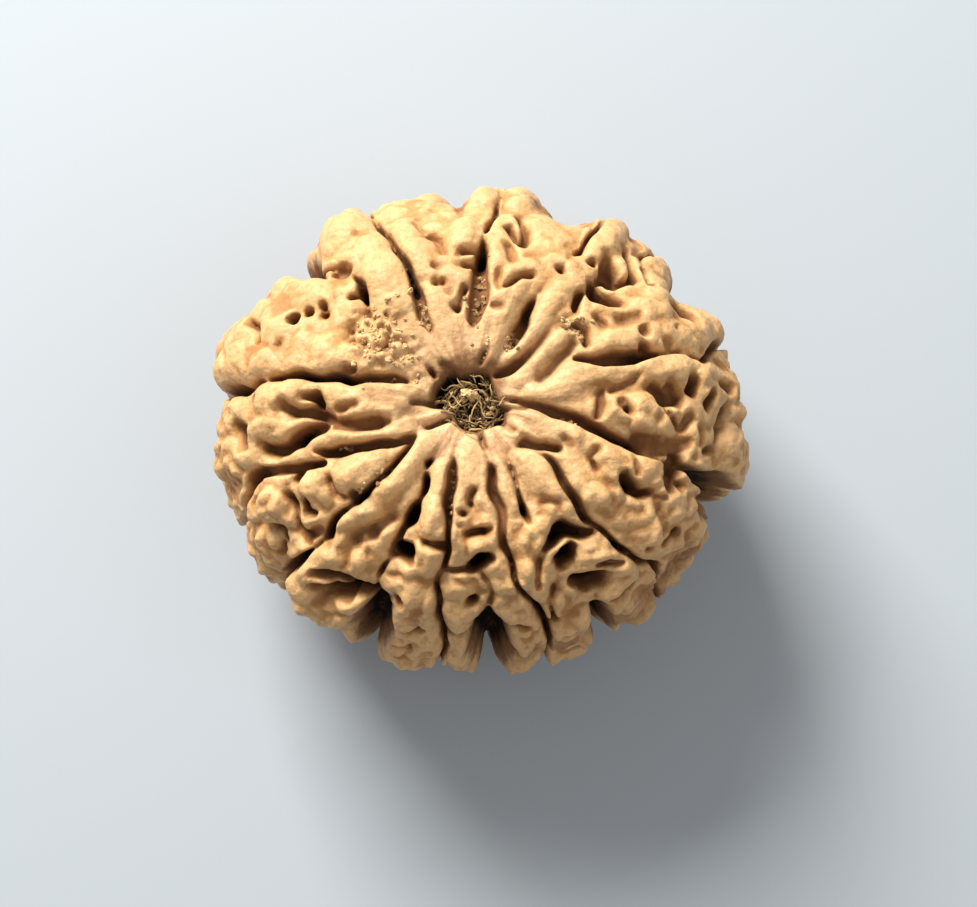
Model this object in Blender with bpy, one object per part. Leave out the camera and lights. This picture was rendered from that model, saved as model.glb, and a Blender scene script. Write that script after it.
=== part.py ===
"""Rudraksha bead: the ridged stone of one fruit, as a single solid.

The stone is a squat rounded body with a pole on top and one below. Clefts run from pole
to pole and part it into lobes, and each lobe carries a net of puffy lumps, pits and short
cross grooves. Every feature is a stroke laid on the plain body and read as a depth.

Places on the body are (bearing, colatitude) in degrees: bearing turns anticlockwise from
+X seen from above, colatitude is 0 at the top pole and 180 at the bottom one.
Lengths are millimetres until the mesh is written.
"""

import math
import random

import bpy
import bmesh
import numpy as np
from mathutils import Vector, noise

MM = 0.001

# Plain body: half extents of a squashed, slightly boxy ball
HALF_LENGTH = 13.7
HALF_WIDTH = 12.5
HALF_HEIGHT = 9.3
BOXINESS = 2.35
CENTRE = (0.45, 0.05, 9.6)
TOP_FUNNEL = 1.3
TOP_FUNNEL_REACH = 20.0
BOTTOM_FUNNEL = 0.1
BOTTOM_FUNNEL_REACH = 12.0

# Mouth at the top pole, a blind hollow
MOUTH_RADIUS = 1.45
MOUTH_DEPTH = 1.9
MOUTH_WALL = 0.8

# Flat spot under the bead, and the closed pore in its middle
FLAT_TRIM = 0.12
PORE_RADIUS = 0.7
PORE_DEPTH = 1.4

# Clefts
CLEFT_VALLEY = 0.40
CLEFT_VALLEY_REACH = 1.4
CLEFT_WALL = 0.35
CLEFT_FULL_DEPTH = 1.5
PIT_WALL = 0.35

# Finish
STONE_COLOUR = (0.50, 0.30, 0.13, 1.0)
STONE_ROUGHNESS = 0.6

# Surface mesh
BALL_STEPS = 7
FACE_BUDGET = 11400
SMOOTH_ROUNDS = 3
PATH_STEP = 1.2
ROUNDING = 4

# Each cleft is a list of (bearing, colatitude, half width of its floor, depth)
CLEFTS = {
    "c116": [(119, 15, 0.30, 0.3), (118, 19, 0.50, 0.5), (116, 22, 0.45, 0.8), (115, 25, 0.35, 1.7),
             (115, 31, 0.22, 2.0), (115, 38, 0.16, 2.0), (115, 48, 0.12, 2.0), (116, 60, 0.14, 2.2),
             (116, 75, 0.20, 1.8), (114, 100, 0.28, 1.9), (118, 130, 0.28, 1.8), (115, 160, 0.15, 0.8)],
    "c88": [(92, 9, 0.10, 0.3), (90, 16, 0.25, 0.9), (89, 20, 0.40, 1.5), (88, 24, 0.38, 1.6),
            (88, 31, 0.40, 1.9), (88, 36, 0.36, 2.2), (87, 39, 0.08, 1.0), (87, 42, 0.08, 0.6),
            (86, 43.5, 0.22, 1.9), (86, 50, 0.20, 2.0), (86, 58, 0.12, 1.8), (85, 75, 0.08, 1.0),
            (88, 100, 0.28, 1.9), (85, 130, 0.28, 1.8), (90, 160, 0.15, 0.8)],
    "c60": [(56, 10, 0.20, 0.6), (59, 13, 0.36, 1.3), (61, 17, 0.38, 1.7), (62, 20, 0.30, 1.8),
            (61, 24, 0.16, 1.4), (61, 27, 0.06, 0.8), (60, 34, 0.06, 0.3), (59, 43, 0.10, 0.7),
            (60, 49, 0.14, 1.3), (60, 57, 0.14, 1.5), (61, 75, 0.15, 1.5), (62, 100, 0.28, 1.9),
            (58, 130, 0.28, 1.8), (60, 160, 0.15, 0.8)],
    "c40": [(44, 5, 0.15, 0.9), (42, 10, 0.22, 1.0), (43, 14, 0.20, 0.9), (41, 17, 0.30, 0.8),
            (42, 22, 0.60, 0.9), (44, 27, 0.50, 1.0), (48, 31, 0.40, 1.6), (50, 36, 0.40, 1.9),
            (49, 42, 0.40, 2.1), (45, 46, 0.20, 1.7), (44, 52, 0.16, 1.5), (45, 58, 0.16, 1.4),
            (48, 66, 0.16, 1.2), (47, 80, 0.14, 1.2), (42, 100, 0.28, 1.9), (40, 130, 0.28, 1.8),
            (42, 160, 0.15, 0.8)],
    "c20": [(18, 10, 0.10, 0.3), (23, 14, 0.30, 0.6), (26, 17, 0.35, 0.8), (22, 19, 0.20, 1.2),
            (20, 22, 0.24, 1.8), (19, 28, 0.24, 2.0), (18, 35, 0.24, 2.0), (18, 39, 0.30, 1.8),
            (17, 46, 0.30, 1.0), (15, 53, 0.20, 1.0), (16, 60, 0.22, 1.6), (18, 66, 0.30, 1.9),
            (20, 77, 0.25, 1.9), (19, 100, 0.28, 1.9), (16, 130, 0.28, 1.8), (20, 160, 0.15, 0.8)],
    "c346": [(369, 5, 0.25, 0.4), (361, 8, 0.35, 0.7), (353, 10, 0.35, 1.1), (350, 14, 0.35, 1.5),
             (348, 19, 0.32, 1.7), (344, 25, 0.30, 1.7), (343, 29, 0.30, 1.8), (341, 33, 0.45, 2.2),
             (341, 40, 0.25, 1.6), (341, 46, 0.25, 1.6), (344, 52, 0.20, 1.5), (344, 57, 0.22, 1.6),
             (346, 66, 0.20, 1.6), (344, 80, 0.16, 1.5), (346, 100, 0.28, 1.9), (342, 130, 0.28, 1.8),
             (344, 160, 0.15, 0.8)],
    "c314": [(320, 12, 0.12, 0.3), (316, 17, 0.25, 0.8), (316, 20, 0.28, 1.2), (313, 26, 0.20, 1.6),
             (311, 31, 0.14, 1.8), (311, 37, 0.14, 1.9), (312, 43, 0.14, 2.0), (313, 51, 0.14, 2.0),
             (315, 60, 0.16, 2.0), (315, 75, 0.16, 1.8), (313, 100, 0.28, 1.9), (317, 130, 0.28, 1.8),
             (314, 160, 0.15, 0.8)],
    "c297": [(303, 11, 0.06, 0.2), (298, 15, 0.16, 0.6), (294, 20, 0.10, 0.8), (292, 24, 0.30, 1.6),
             (295, 29, 0.35, 2.0), (298, 33, 0.45, 2.2), (299, 38, 0.30, 1.8), (300, 44, 0.20, 1.4),
             (300, 51, 0.45, 2.2), (302, 57, 0.45, 2.3), (300, 64, 0.35, 2.0), (299, 75, 0.35, 2.0),
             (300, 100, 0.28, 1.9), (297, 130, 0.28, 1.8), (299, 160, 0.15, 0.8)],
    "c283": [(289, 9, 0.20, 0.4), (283, 13, 0.28, 0.8), (281, 17, 0.26, 1.1), (281, 23, 0.16, 1.3),
             (281, 30, 0.12, 1.5), (282, 38, 0.14, 1.9), (283, 44, 0.14, 1.9), (284, 52, 0.16, 2.0),
             (285, 60, 0.18, 2.0), (285, 72, 0.20, 1.9), (284, 100, 0.28, 1.9), (281, 130, 0.28, 1.8),
             (284, 160, 0.15, 0.8)],
    "c271": [(272, 20, 0.08, 0.3), (272, 26, 0.30, 0.9), (271, 30, 0.35, 1.4), (271, 34, 0.50, 2.1),
             (270, 38, 0.15, 1.0), (269, 46, 0.10, 0.8), (270, 54, 0.12, 1.0), (272, 60, 0.35, 1.7),
             (273, 68, 0.45, 2.0), (273, 80, 0.35, 1.9), (271, 100, 0.28, 1.9), (268, 130, 0.28, 1.8),
             (270, 160, 0.15, 0.8)],
    "c260": [(258, 10, 0.12, 0.3), (258, 14, 0.28, 0.9), (260, 19, 0.26, 1.5), (260, 25, 0.22, 1.8),
             (260, 32, 0.15, 1.9), (260, 40, 0.14, 2.0), (259, 46, 0.14, 2.0), (260, 54, 0.15, 2.0),
             (261, 64, 0.16, 2.0), (261, 78, 0.18, 1.9), (259, 100, 0.28, 1.9), (262, 130, 0.28, 1.8),
             (259, 160, 0.15, 0.8)],
    "c244": [(240, 13, 0.12, 0.4), (242, 17, 0.30, 1.2), (243, 21, 0.35, 1.9), (243, 25, 0.35, 1.9),
             (243, 29, 0.40, 2.3), (243, 33, 0.25, 1.6), (244, 38, 0.60, 2.4), (244, 44, 0.25, 1.6),
             (243, 52, 0.18, 1.5), (243, 60, 0.35, 2.0), (245, 70, 0.40, 2.2), (245, 82, 0.35, 2.0),
             (243, 100, 0.28, 1.9), (246, 130, 0.28, 1.8), (243, 160, 0.15, 0.8)],
    "c223": [(216, 10, 0.10, 0.3), (217, 13, 0.26, 0.8), (220, 18, 0.25, 1.0), (223, 24, 0.20, 1.3),
             (224, 31, 0.30, 1.9), (224, 38, 0.16, 1.6), (223, 46, 0.30, 2.0), (222, 51, 0.20, 1.8),
             (221, 60, 0.20, 1.9), (222, 75, 0.25, 2.0), (224, 100, 0.28, 1.9), (220, 130, 0.28, 1.8),
             (222, 160, 0.15, 0.8)],
    "c201": [(216, 11, 0.20, 0.5), (212, 16, 0.30, 0.8), (207, 22, 0.22, 0.9), (205, 30, 0.20, 1.4),
             (202, 36, 0.22, 1.6), (201, 42, 0.20, 1.6), (200, 50, 0.16, 1.5), (199, 60, 0.16, 1.6),
             (200, 75, 0.18, 1.6), (203, 100, 0.28, 1.9), (199, 130, 0.28, 1.8), (202, 160, 0.15, 0.8)],
    "c170": [(163, 9, 0.10, 0.3), (163, 13, 0.34, 0.8), (166, 19, 0.36, 1.2), (168, 24, 0.26, 1.8),
             (169.5, 30, 0.22, 2.1), (170.5, 40, 0.22, 2.2), (171.5, 50, 0.20, 2.1), (173, 60, 0.18, 2.0),
             (174, 72, 0.18, 1.8), (171, 100, 0.28, 1.9), (175, 130, 0.28, 1.8), (171, 160, 0.15, 0.8)],
    "c133": [(136, 8, 0.16, 0.5), (138, 14, 0.06, 0.2), (138, 24, 0.20, 0.4), (137, 29, 0.20, 0.7),
             (134, 34, 0.40, 1.9), (132, 39, 0.40, 2.3), (133, 44, 0.15, 1.4), (132, 51, 0.18, 1.6),
             (133, 60, 0.22, 1.9), (133, 75, 0.25, 1.9), (134, 100, 0.28, 1.9), (138, 130, 0.28, 1.8),
             (136, 160, 0.15, 0.8)],
}

# Short grooves and pits on the lobes: (half width, depth, wall, points)
GROOVES = [
    # north lobes
    (0.14, 0.7, 0.5, [(106, 50), (103, 42), (100, 35)]),
    (0.10, 0.7, 0.5, [(93, 23), (95, 21), (99, 19), (102, 20)]),
    (0.12, 1.0, 0.5, [(94, 35), (88, 35)]),
    (0.12, 0.9, 0.5, [(93, 30), (88, 30)]),
    (0.10, 0.8, 0.5, [(80, 45), (78, 42), (76, 40)]),
    (0.20, 1.2, 0.5, [(79, 52), (76, 45), (74, 41)]),
    (0.14, 0.7, 0.5, [(78, 37), (75, 32)]),
    (0.10, 0.8, 0.5, [(74, 25), (72, 26), (69, 28), (68, 30), (65, 29)]),
    (0.14, 0.5, 0.4, [(78, 25), (77, 22)]),
    (0.14, 0.5, 0.4, [(76, 19), (73, 19)]),
    (0.18, 0.9, 0.4, [(76, 9), (75, 7)]),
    # north-east lobes
    (0.30, 1.3, 0.5, [(52, 34), (50, 32)]),
    (0.14, 1.3, 0.5, [(49, 36), (45, 35), (42, 36), (40, 37), (38, 38)]),
    (0.14, 0.9, 0.5, [(44, 49), (44, 54), (46, 60), (49, 66)]),
    (0.10, 0.6, 0.5, [(44, 57), (42, 54), (39, 52)]),
    (0.12, 0.8, 0.6, [(33, 34), (31, 38), (30, 41)]),
    (0.12, 0.8, 0.5, [(31, 52), (29, 57), (26, 62)]),
    (0.10, 0.8, 0.5, [(24, 38), (24, 41), (22, 43)]),
    (0.20, 0.9, 0.5, [(45, 24), (39, 25), (35, 24), (31, 23), (29, 24)]),
    (0.20, 0.8, 0.5, [(20, 12), (25, 15), (28, 19), (33, 22), (36, 24)]),
    # east lobes
    (0.12, 1.0, 0.5, [(355, 30), (357, 31)]),
    (0.35, 1.1, 0.6, [(0, 38), (4, 38)]),
    (0.12, 0.9, 0.5, [(356, 43), (354, 47), (350, 48)]),
    (0.14, 1.0, 0.5, [(342, 56), (349, 58), (356, 59), (362, 62)]),
    (0.12, 0.8, 0.5, [(4, 28), (8, 31), (12, 32)]),
    (0.12, 0.8, 0.5, [(7, 44), (10, 49), (9, 55), (4, 60)]),
    (0.10, 0.7, 0.5, [(344, 25), (350, 27), (354, 28)]),
    # south-east lobes
    (0.26, 1.5, 0.5, [(330, 35), (328, 39), (327, 43)]),
    (0.20, 0.9, 0.4, [(330, 17), (324, 16), (319, 14), (316, 13)]),
    (0.10, 0.8, 0.5, [(325, 56), (321, 57)]),
    (0.12, 0.8, 0.5, [(330, 22), (331, 26), (337, 27)]),
    (0.10, 0.8, 0.5, [(336, 32), (334, 36), (330, 36)]),
    (0.10, 0.8, 0.5, [(341, 47), (336, 48), (332, 47)]),
    (0.20, 1.1, 0.5, [(302, 49), (306, 48), (310, 49)]),
    (0.12, 0.9, 0.5, [(302, 61), (306, 61), (312, 62)]),
    # south lobes
    (0.14, 0.8, 0.5, [(290, 44), (292, 47)]),
    (0.14, 0.8, 0.5, [(289, 59), (291, 61)]),
    (0.20, 1.2, 0.5, [(262, 33), (267, 34), (272, 35), (278, 34)]),
    (0.10, 0.8, 0.5, [(260, 39), (265, 38), (270, 39)]),
    (0.10, 0.7, 0.5, [(274, 58), (278, 57), (282, 58)]),
    (0.14, 1.0, 0.5, [(253, 33), (257, 33), (260, 33)]),
    (0.10, 0.7, 0.5, [(248, 30), (252, 31), (257, 31)]),
    (0.10, 0.9, 0.4, [(249, 66), (254, 66), (257, 67)]),
    # south-west lobes
    (0.40, 1.3, 0.6, [(232, 54), (236, 53), (241, 52)]),
    (0.12, 0.9, 0.5, [(209, 55), (212, 57), (215, 55)]),
    (0.12, 0.9, 0.5, [(213, 44), (210, 47)]),
    (0.12, 0.8, 0.5, [(206, 37), (212, 39), (218, 38)]),
    (0.16, 0.8, 0.5, [(220, 18), (225, 21), (226, 26)]),
    (0.12, 0.8, 0.5, [(204, 64), (210, 64), (216, 63)]),
    # west lobes
    (0.14, 0.9, 0.5, [(191, 50), (190, 42), (191, 36)]),
    (0.20, 0.9, 0.4, [(190, 29), (194, 22), (197, 18)]),
    (0.14, 0.9, 0.5, [(176, 30), (179, 31), (179, 33)]),
    (0.10, 0.8, 0.5, [(183, 31), (182, 35), (183, 38)]),
    (0.14, 0.9, 0.5, [(185, 56), (188, 58), (188, 61)]),
    (0.12, 0.5, 0.4, [(182, 6), (184, 8), (189, 9)]),
    (0.16, 0.9, 0.5, [(157, 66), (159, 60), (161, 55)]),
    (0.10, 0.5, 0.6, [(147, 31), (152, 28), (158, 27)]),
    (0.14, 0.7, 0.5, [(144, 27), (148, 27), (152, 26)]),
]

# Round holes: (bearing, colatitude, radius, depth)
PITS = [
    (152, 46, 0.34, 1.8), (147, 40, 0.20, 1.0), (149, 42, 0.18, 1.1), (144, 41, 0.20, 0.9),
    (162, 44, 0.30, 0.3), (131, 51, 0.16, 0.7), (60, 36, 0.20, 1.0), (54, 43, 0.22, 0.9),
    (39, 52, 0.18, 0.8), (20, 46, 0.25, 0.6), (104, 32, 0.18, 0.6), (108, 25, 0.20, 0.6),
    (104, 25, 0.20, 0.6), (102, 22, 0.16, 0.5), (147, 9, 0.20, 0.7), (191, 35, 0.30, 1.6),
    (209, 47, 0.20, 0.9), (214, 44, 0.20, 0.9), (214, 66, 0.24, 1.0), (230, 64, 0.45, 1.9),
    (233, 17, 0.26, 1.1), (250, 49, 0.22, 0.9), (253, 77, 0.24, 1.0), (291, 46, 0.24, 1.0),
    (290, 60, 0.22, 0.9), (6, 48, 0.22, 0.8), (3, 56, 0.20, 0.8), (336, 33, 0.20, 1.0),
    (328, 39, 0.40, 1.9), (269, 48, 0.20, 0.9), (297, 17, 0.18, 0.7), (264, 7, 0.20, 0.5),
    (283, 7, 0.18, 0.6), (318, 53, 0.20, 0.6), (352, 66, 0.25, 0.8), (24, 50, 0.18, 0.6),
]

# Raised ridges and knobs: (radius, height, points)
RIDGES = [
    # spokes that draw in to the mouth
    (0.9, 0.35, [(78, 8), (76, 14), (74, 22), (72, 30)]),
    (0.8, 0.30, [(98, 8), (99, 14), (101, 20)]),
    (0.8, 0.30, [(108, 8), (109, 15), (111, 23)]),
    (0.7, 0.40, [(30, 9), (33, 14), (36, 18)]),
    (0.9, 0.40, [(8, 10), (12, 15), (16, 22)]),
    (0.8, 0.35, [(345, 8), (341, 13), (338, 18)]),
    (0.8, 0.35, [(326, 8), (322, 12), (312, 20), (309, 28), (311, 34)]),
    (0.8, 0.35, [(305, 10), (306, 18), (307, 27)]),
    (0.8, 0.35, [(290, 12), (288, 20), (288, 28), (290, 40), (291, 50)]),
    (0.7, 0.35, [(270, 8), (271, 14), (275, 22)]),
    (0.6, 0.30, [(265, 10), (265, 18), (264, 27)]),
    (0.7, 0.35, [(246, 9), (250, 15), (252, 22)]),
    (0.8, 0.45, [(226, 10), (229, 18), (229, 28), (227, 40), (226, 50)]),
    (0.8, 0.40, [(203, 12), (199, 20), (196, 30), (195, 38)]),
    (0.8, 0.40, [(187, 14), (187, 24), (186, 34)]),
    (0.8, 0.35, [(174, 10), (176, 18), (177, 26)]),
    (0.8, 0.30, [(153, 14), (157, 20), (162, 28)]),
    # long backs of lobes
    (1.3, 0.50, [(123, 28), (124, 36), (124, 44), (123, 52)]),
    (1.4, 0.55, [(158, 36), (157, 46), (155, 56), (153, 66)]),
    (1.2, 0.50, [(143, 36), (142, 46), (143, 58)]),
    (1.3, 0.50, [(164, 36), (165, 46), (167, 58)]),
    (1.0, 0.45, [(176, 40), (178, 50), (180, 62)]),
    (1.1, 0.45, [(28, 34), (27, 44), (24, 54)]),
    (1.0, 0.45, [(13, 22), (13, 34), (12, 42)]),
    (1.1, 0.45, [(324, 44), (322, 52), (324, 62)]),
    (0.9, 0.45, [(252, 36), (252, 44), (252, 56), (252, 68)]),
    (0.9, 0.45, [(265, 42), (266, 52), (266, 62)]),
    (0.9, 0.45, [(110, 30), (110, 40), (110, 50)]),
    (0.8, 0.45, [(95, 40), (94, 48), (95, 56)]),
    # knobs that stand out of the outline
    (1.9, 0.60, [(124, 62), (122, 72), (122, 82)]),
    (1.2, 0.36, [(107, 68), (106, 78)]),
    (1.0, 0.33, [(97, 68), (96, 78)]),
    (1.2, 0.42, [(82, 62), (80, 74)]),
    (1.0, 0.33, [(66, 66), (66, 76)]),
    (1.2, 0.42, [(52, 52), (53, 60), (54, 72)]),
    (1.7, 0.48, [(28, 62), (26, 72), (24, 84)]),
    (1.5, 0.48, [(8, 52), (6, 62), (6, 74)]),
    (1.5, 0.54, [(352, 70), (350, 80), (350, 90)]),
    (1.5, 0.42, [(354, 36), (354, 40)]),
    (1.3, 0.30, [(351, 20), (354, 24)]),
    (1.0, 0.30, [(347, 26), (349, 30)]),
    (1.4, 0.36, [(330, 60), (332, 72), (330, 84)]),
    (1.2, 0.36, [(306, 40), (305, 43)]),
    (1.3, 0.42, [(306, 55), (310, 56)]),
    (1.4, 0.48, [(305, 68), (306, 78), (306, 88)]),
    (1.4, 0.48, [(292, 72), (292, 84)]),
    (1.3, 0.42, [(279, 66), (279, 76), (279, 88)]),
    (1.0, 0.36, [(265, 70), (265, 82)]),
    (1.2, 0.36, [(253, 76), (253, 88)]),
    (1.1, 0.54, [(224, 66), (228, 72), (234, 74), (238, 68)]),
    (1.4, 0.36, [(210, 72), (211, 84)]),
    (1.1, 0.30, [(250, 25), (254, 25)]),
    (1.2, 0.36, [(190, 68), (190, 80)]),
    (1.4, 0.36, [(163, 72), (162, 84)]),
    (1.1, 0.36, [(184, 43), (184, 47)]),
    (1.0, 0.33, [(212, 50), (213, 53)]),
    (0.9, 0.30, [(209, 41), (212, 42)]),
]

# Net of lumps that fills the lobes, low on top and bold on the flanks and underneath.
# Each pair is the two colatitudes between which that change runs.
LUMP_SEED = 41
LUMP_COUNT = 170
LUMP_TURN = 137.508
LUMP_SCATTER = (14.0, 4.0)
LUMP_HEIGHT_TOP = 0.25
LUMP_HEIGHT_UNDER = 1.1
LUMP_SHOULDER = 2.0
CORNER_PIT = 0.9
CORNER_PIT_REACH = 1.2
BOLD_FROM = (55.0, 90.0)
CALM_AT_TOP = (14.0, 30.0)
CALM_AT_BOTTOM = (162.0, 176.0)
WANDER_SCALE = 0.33
WANDER_SIZE = 1.3
WANDER_OFFSET = Vector((7.3, 3.1, 5.7))


def plain_body(bearing, colatitude):
    """Points on the body without relief, for arrays of degrees."""
    turn = np.radians(bearing)
    tilt = np.radians(colatitude)
    across = np.sin(tilt).clip(0.0) ** (2 / BOXINESS)
    up = np.sign(np.cos(tilt)) * np.abs(np.cos(tilt)) ** (2 / BOXINESS)
    top = TOP_FUNNEL * np.exp(-(colatitude / TOP_FUNNEL_REACH) ** 2)
    bottom = BOTTOM_FUNNEL * np.exp(-((180 - colatitude) / BOTTOM_FUNNEL_REACH) ** 2)
    return np.stack([
        CENTRE[0] * across + HALF_LENGTH * across * np.cos(turn),
        CENTRE[1] * across + HALF_WIDTH * across * np.sin(turn),
        CENTRE[2] + HALF_HEIGHT * up - top + bottom,
    ], axis=-1)


def shoulder(distance):
    """1 in a crease, falling along a quarter circle to 0 one unit away."""
    away = 1 - distance.clip(0.0, 1.0)
    return 1 - np.sqrt(1 - away ** 2)


def ramp(value, ends):
    """0 at the first end, 1 at the second, straight between."""
    return ((value - ends[0]) / (ends[1] - ends[0])).clip(0.0, 1.0)


def dense_path(points):
    """A stroke's rows, with rows added so that its chords follow the body."""
    rows = np.array(points, dtype=float)
    out = [rows[:1]]
    for start, end in zip(rows[:-1], rows[1:]):
        ends = plain_body(np.array([start[0], end[0]]), np.array([start[1], end[1]]))
        count = max(1, math.ceil(np.linalg.norm(ends[1] - ends[0]) / PATH_STEP))
        share = np.arange(1, count + 1)[:, None] / count
        out.append(start + (end - start) * share)
    return np.concatenate(out)


class Relief:
    """Adds up strokes over the points of the plain body."""

    def __init__(self, places):
        self.places = places
        self.raised = np.zeros(len(places))
        self.cut = np.zeros(len(places))

    def stroke(self, rows, reach, shape, target):
        """Puts shape(distance, row values) of one stroke into target by maximum."""
        rows = dense_path(rows)
        line = plain_body(rows[:, 0], rows[:, 1])
        middle = (line.min(axis=0) + line.max(axis=0)) / 2
        radius = np.linalg.norm(line - middle, axis=1).max() + reach
        near = np.nonzero(np.linalg.norm(self.places - middle, axis=1) < radius)[0]
        here = self.places[near]
        best = np.zeros(len(near))
        starts = line if len(line) == 1 else line[:-1]
        ends = line if len(line) == 1 else line[1:]
        for index, (start, end) in enumerate(zip(starts, ends)):
            along = end - start
            length = max((along * along).sum(), 1e-9)
            share = (((here - start) * along).sum(axis=1) / length).clip(0.0, 1.0)
            distance = np.linalg.norm(here - start - share[:, None] * along, axis=1)
            last = min(index + 1, len(rows) - 1)
            values = rows[index, 2:] + share[:, None] * (rows[last, 2:] - rows[index, 2:])
            best = np.maximum(best, shape(distance, values))
        target[near] = np.maximum(target[near], best)

    def cleft(self, rows):
        """A narrow slit along the middle of a shallow valley."""
        valley = np.zeros(len(self.places))
        slit = np.zeros(len(self.places))

        def valley_shape(distance, values):
            gain = (values[:, 1] / CLEFT_FULL_DEPTH).clip(0.0, 1.0)
            return CLEFT_VALLEY * gain * shoulder(distance / CLEFT_VALLEY_REACH)

        def slit_shape(distance, values):
            return values[:, 1] * shoulder((distance - values[:, 0]) / CLEFT_WALL)

        self.stroke(rows, CLEFT_VALLEY_REACH, valley_shape, valley)
        self.stroke(rows, CLEFT_VALLEY_REACH, slit_shape, slit)
        self.cut = np.maximum(self.cut, valley + slit)

    def groove(self, half_width, depth, wall, points):
        """A cut with a flat floor and round walls; one point makes a pit."""
        rows = [(bearing, colatitude, half_width, depth) for bearing, colatitude in points]

        def shape(distance, values):
            return values[:, 1] * shoulder((distance - values[:, 0]) / wall)

        self.stroke(rows, half_width + wall, shape, self.cut)

    def ridge(self, radius, height, points):
        """A round back that stands on the body; one point makes a knob."""
        rows = [(bearing, colatitude, radius, height) for bearing, colatitude in points]

        def shape(distance, values):
            return values[:, 1] * np.sqrt(1 - (distance / values[:, 0]).clip(0.0, 1.0) ** 2)

        self.stroke(rows, radius, shape, self.raised)


def wander(places):
    """A smooth irregular shift for each place, which bends the net's creases."""
    noise.seed_set(LUMP_SEED)
    shifts = [noise.noise_vector(Vector(place) * WANDER_SCALE + WANDER_OFFSET) for place in places]
    return np.array(shifts) * WANDER_SIZE


def lump_net(places, colatitude):
    """Puffy lumps with creases between them and pits where three lumps meet."""
    draw = random.Random(LUMP_SEED)
    centres = []
    for index in range(LUMP_COUNT):
        height = 1 - 2 * (index + 0.5) / LUMP_COUNT
        turn = index * LUMP_TURN + draw.uniform(-LUMP_SCATTER[0], LUMP_SCATTER[0])
        tilt = math.degrees(math.acos(height)) + draw.uniform(-LUMP_SCATTER[1], LUMP_SCATTER[1])
        centres.append((turn, min(max(tilt, 0.0), 180.0)))
    centres = np.array(centres)
    seeds = plain_body(centres[:, 0], centres[:, 1])
    moved = places + wander(places)
    first = np.full(len(places), np.inf)
    second = first.copy()
    third = first.copy()
    for seed in seeds:
        gap = np.linalg.norm(moved - seed, axis=1)
        third = np.minimum(third, np.maximum(second, gap))
        second = np.minimum(second, np.maximum(first, gap))
        first = np.minimum(first, gap)
    lift = 1 - shoulder((second - first) / LUMP_SHOULDER)
    lift -= CORNER_PIT * shoulder((third - first) / CORNER_PIT_REACH)
    size = LUMP_HEIGHT_TOP + (LUMP_HEIGHT_UNDER - LUMP_HEIGHT_TOP) * ramp(colatitude, BOLD_FROM)
    lively = ramp(colatitude, CALM_AT_TOP) * (1 - ramp(colatitude, CALM_AT_BOTTOM))
    return (lift - 0.5) * size * lively


def carved_ball(steps):
    """A ball's mesh with its vertices moved to the carved surface, in millimetres."""
    mesh = bmesh.new()
    bmesh.ops.create_icosphere(mesh, subdivisions=steps, radius=1.0)
    unit = np.array([vertex.co[:] for vertex in mesh.verts])
    unit /= np.linalg.norm(unit, axis=1)[:, None]
    bearing = np.degrees(np.arctan2(unit[:, 1], unit[:, 0])) % 360
    colatitude = np.degrees(np.arccos(unit[:, 2].clip(-1.0, 1.0)))
    places = plain_body(bearing, colatitude)
    relief = Relief(places)
    for radius, height, points in RIDGES:
        relief.ridge(radius, height, points)
    for rows in CLEFTS.values():
        relief.cleft(rows)
    for half_width, depth, wall, points in GROOVES:
        relief.groove(half_width, depth, wall, points)
    for around, down, radius, depth in PITS:
        relief.groove(radius, depth, PIT_WALL, [(around, down)])
    rise = relief.raised + lump_net(places, colatitude) - relief.cut
    from_axis = np.linalg.norm(places[:, :2], axis=1)
    on_top = colatitude < 90
    rise -= on_top * MOUTH_DEPTH * shoulder((from_axis - MOUTH_RADIUS) / MOUTH_WALL)
    rise -= ~on_top * PORE_DEPTH * shoulder((from_axis - PORE_RADIUS) / MOUTH_WALL)
    outward = places - np.array(CENTRE)
    outward /= np.linalg.norm(outward, axis=1)[:, None]
    carved = (places + outward * rise[:, None]).round(ROUNDING)
    for vertex, place in zip(mesh.verts, carved):
        vertex.co = place
    return mesh


def stone_material():
    """Dry tan stone with a faint polish."""
    material = bpy.data.materials.new("stone")
    material.use_nodes = True
    shader = material.node_tree.nodes["Principled BSDF"]
    shader.inputs["Base Color"].default_value = STONE_COLOUR
    shader.inputs["Roughness"].default_value = STONE_ROUGHNESS
    shader.inputs["Metallic"].default_value = 0.0
    return material


def ground_cutter():
    """A block under the floor that trims the bead to its flat spot."""
    mesh = bpy.data.meshes.new("ground")
    block = bmesh.new()
    bmesh.ops.create_cube(block, size=2 * HALF_LENGTH * MM)
    bmesh.ops.translate(block, verts=block.verts, vec=(0, 0, -HALF_LENGTH * MM))
    block.to_mesh(mesh)
    block.free()
    cutter = bpy.data.objects.new("ground", mesh)
    bpy.context.collection.objects.link(cutter)
    cutter.hide_render = True
    cutter.display_type = "WIRE"
    return cutter


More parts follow.
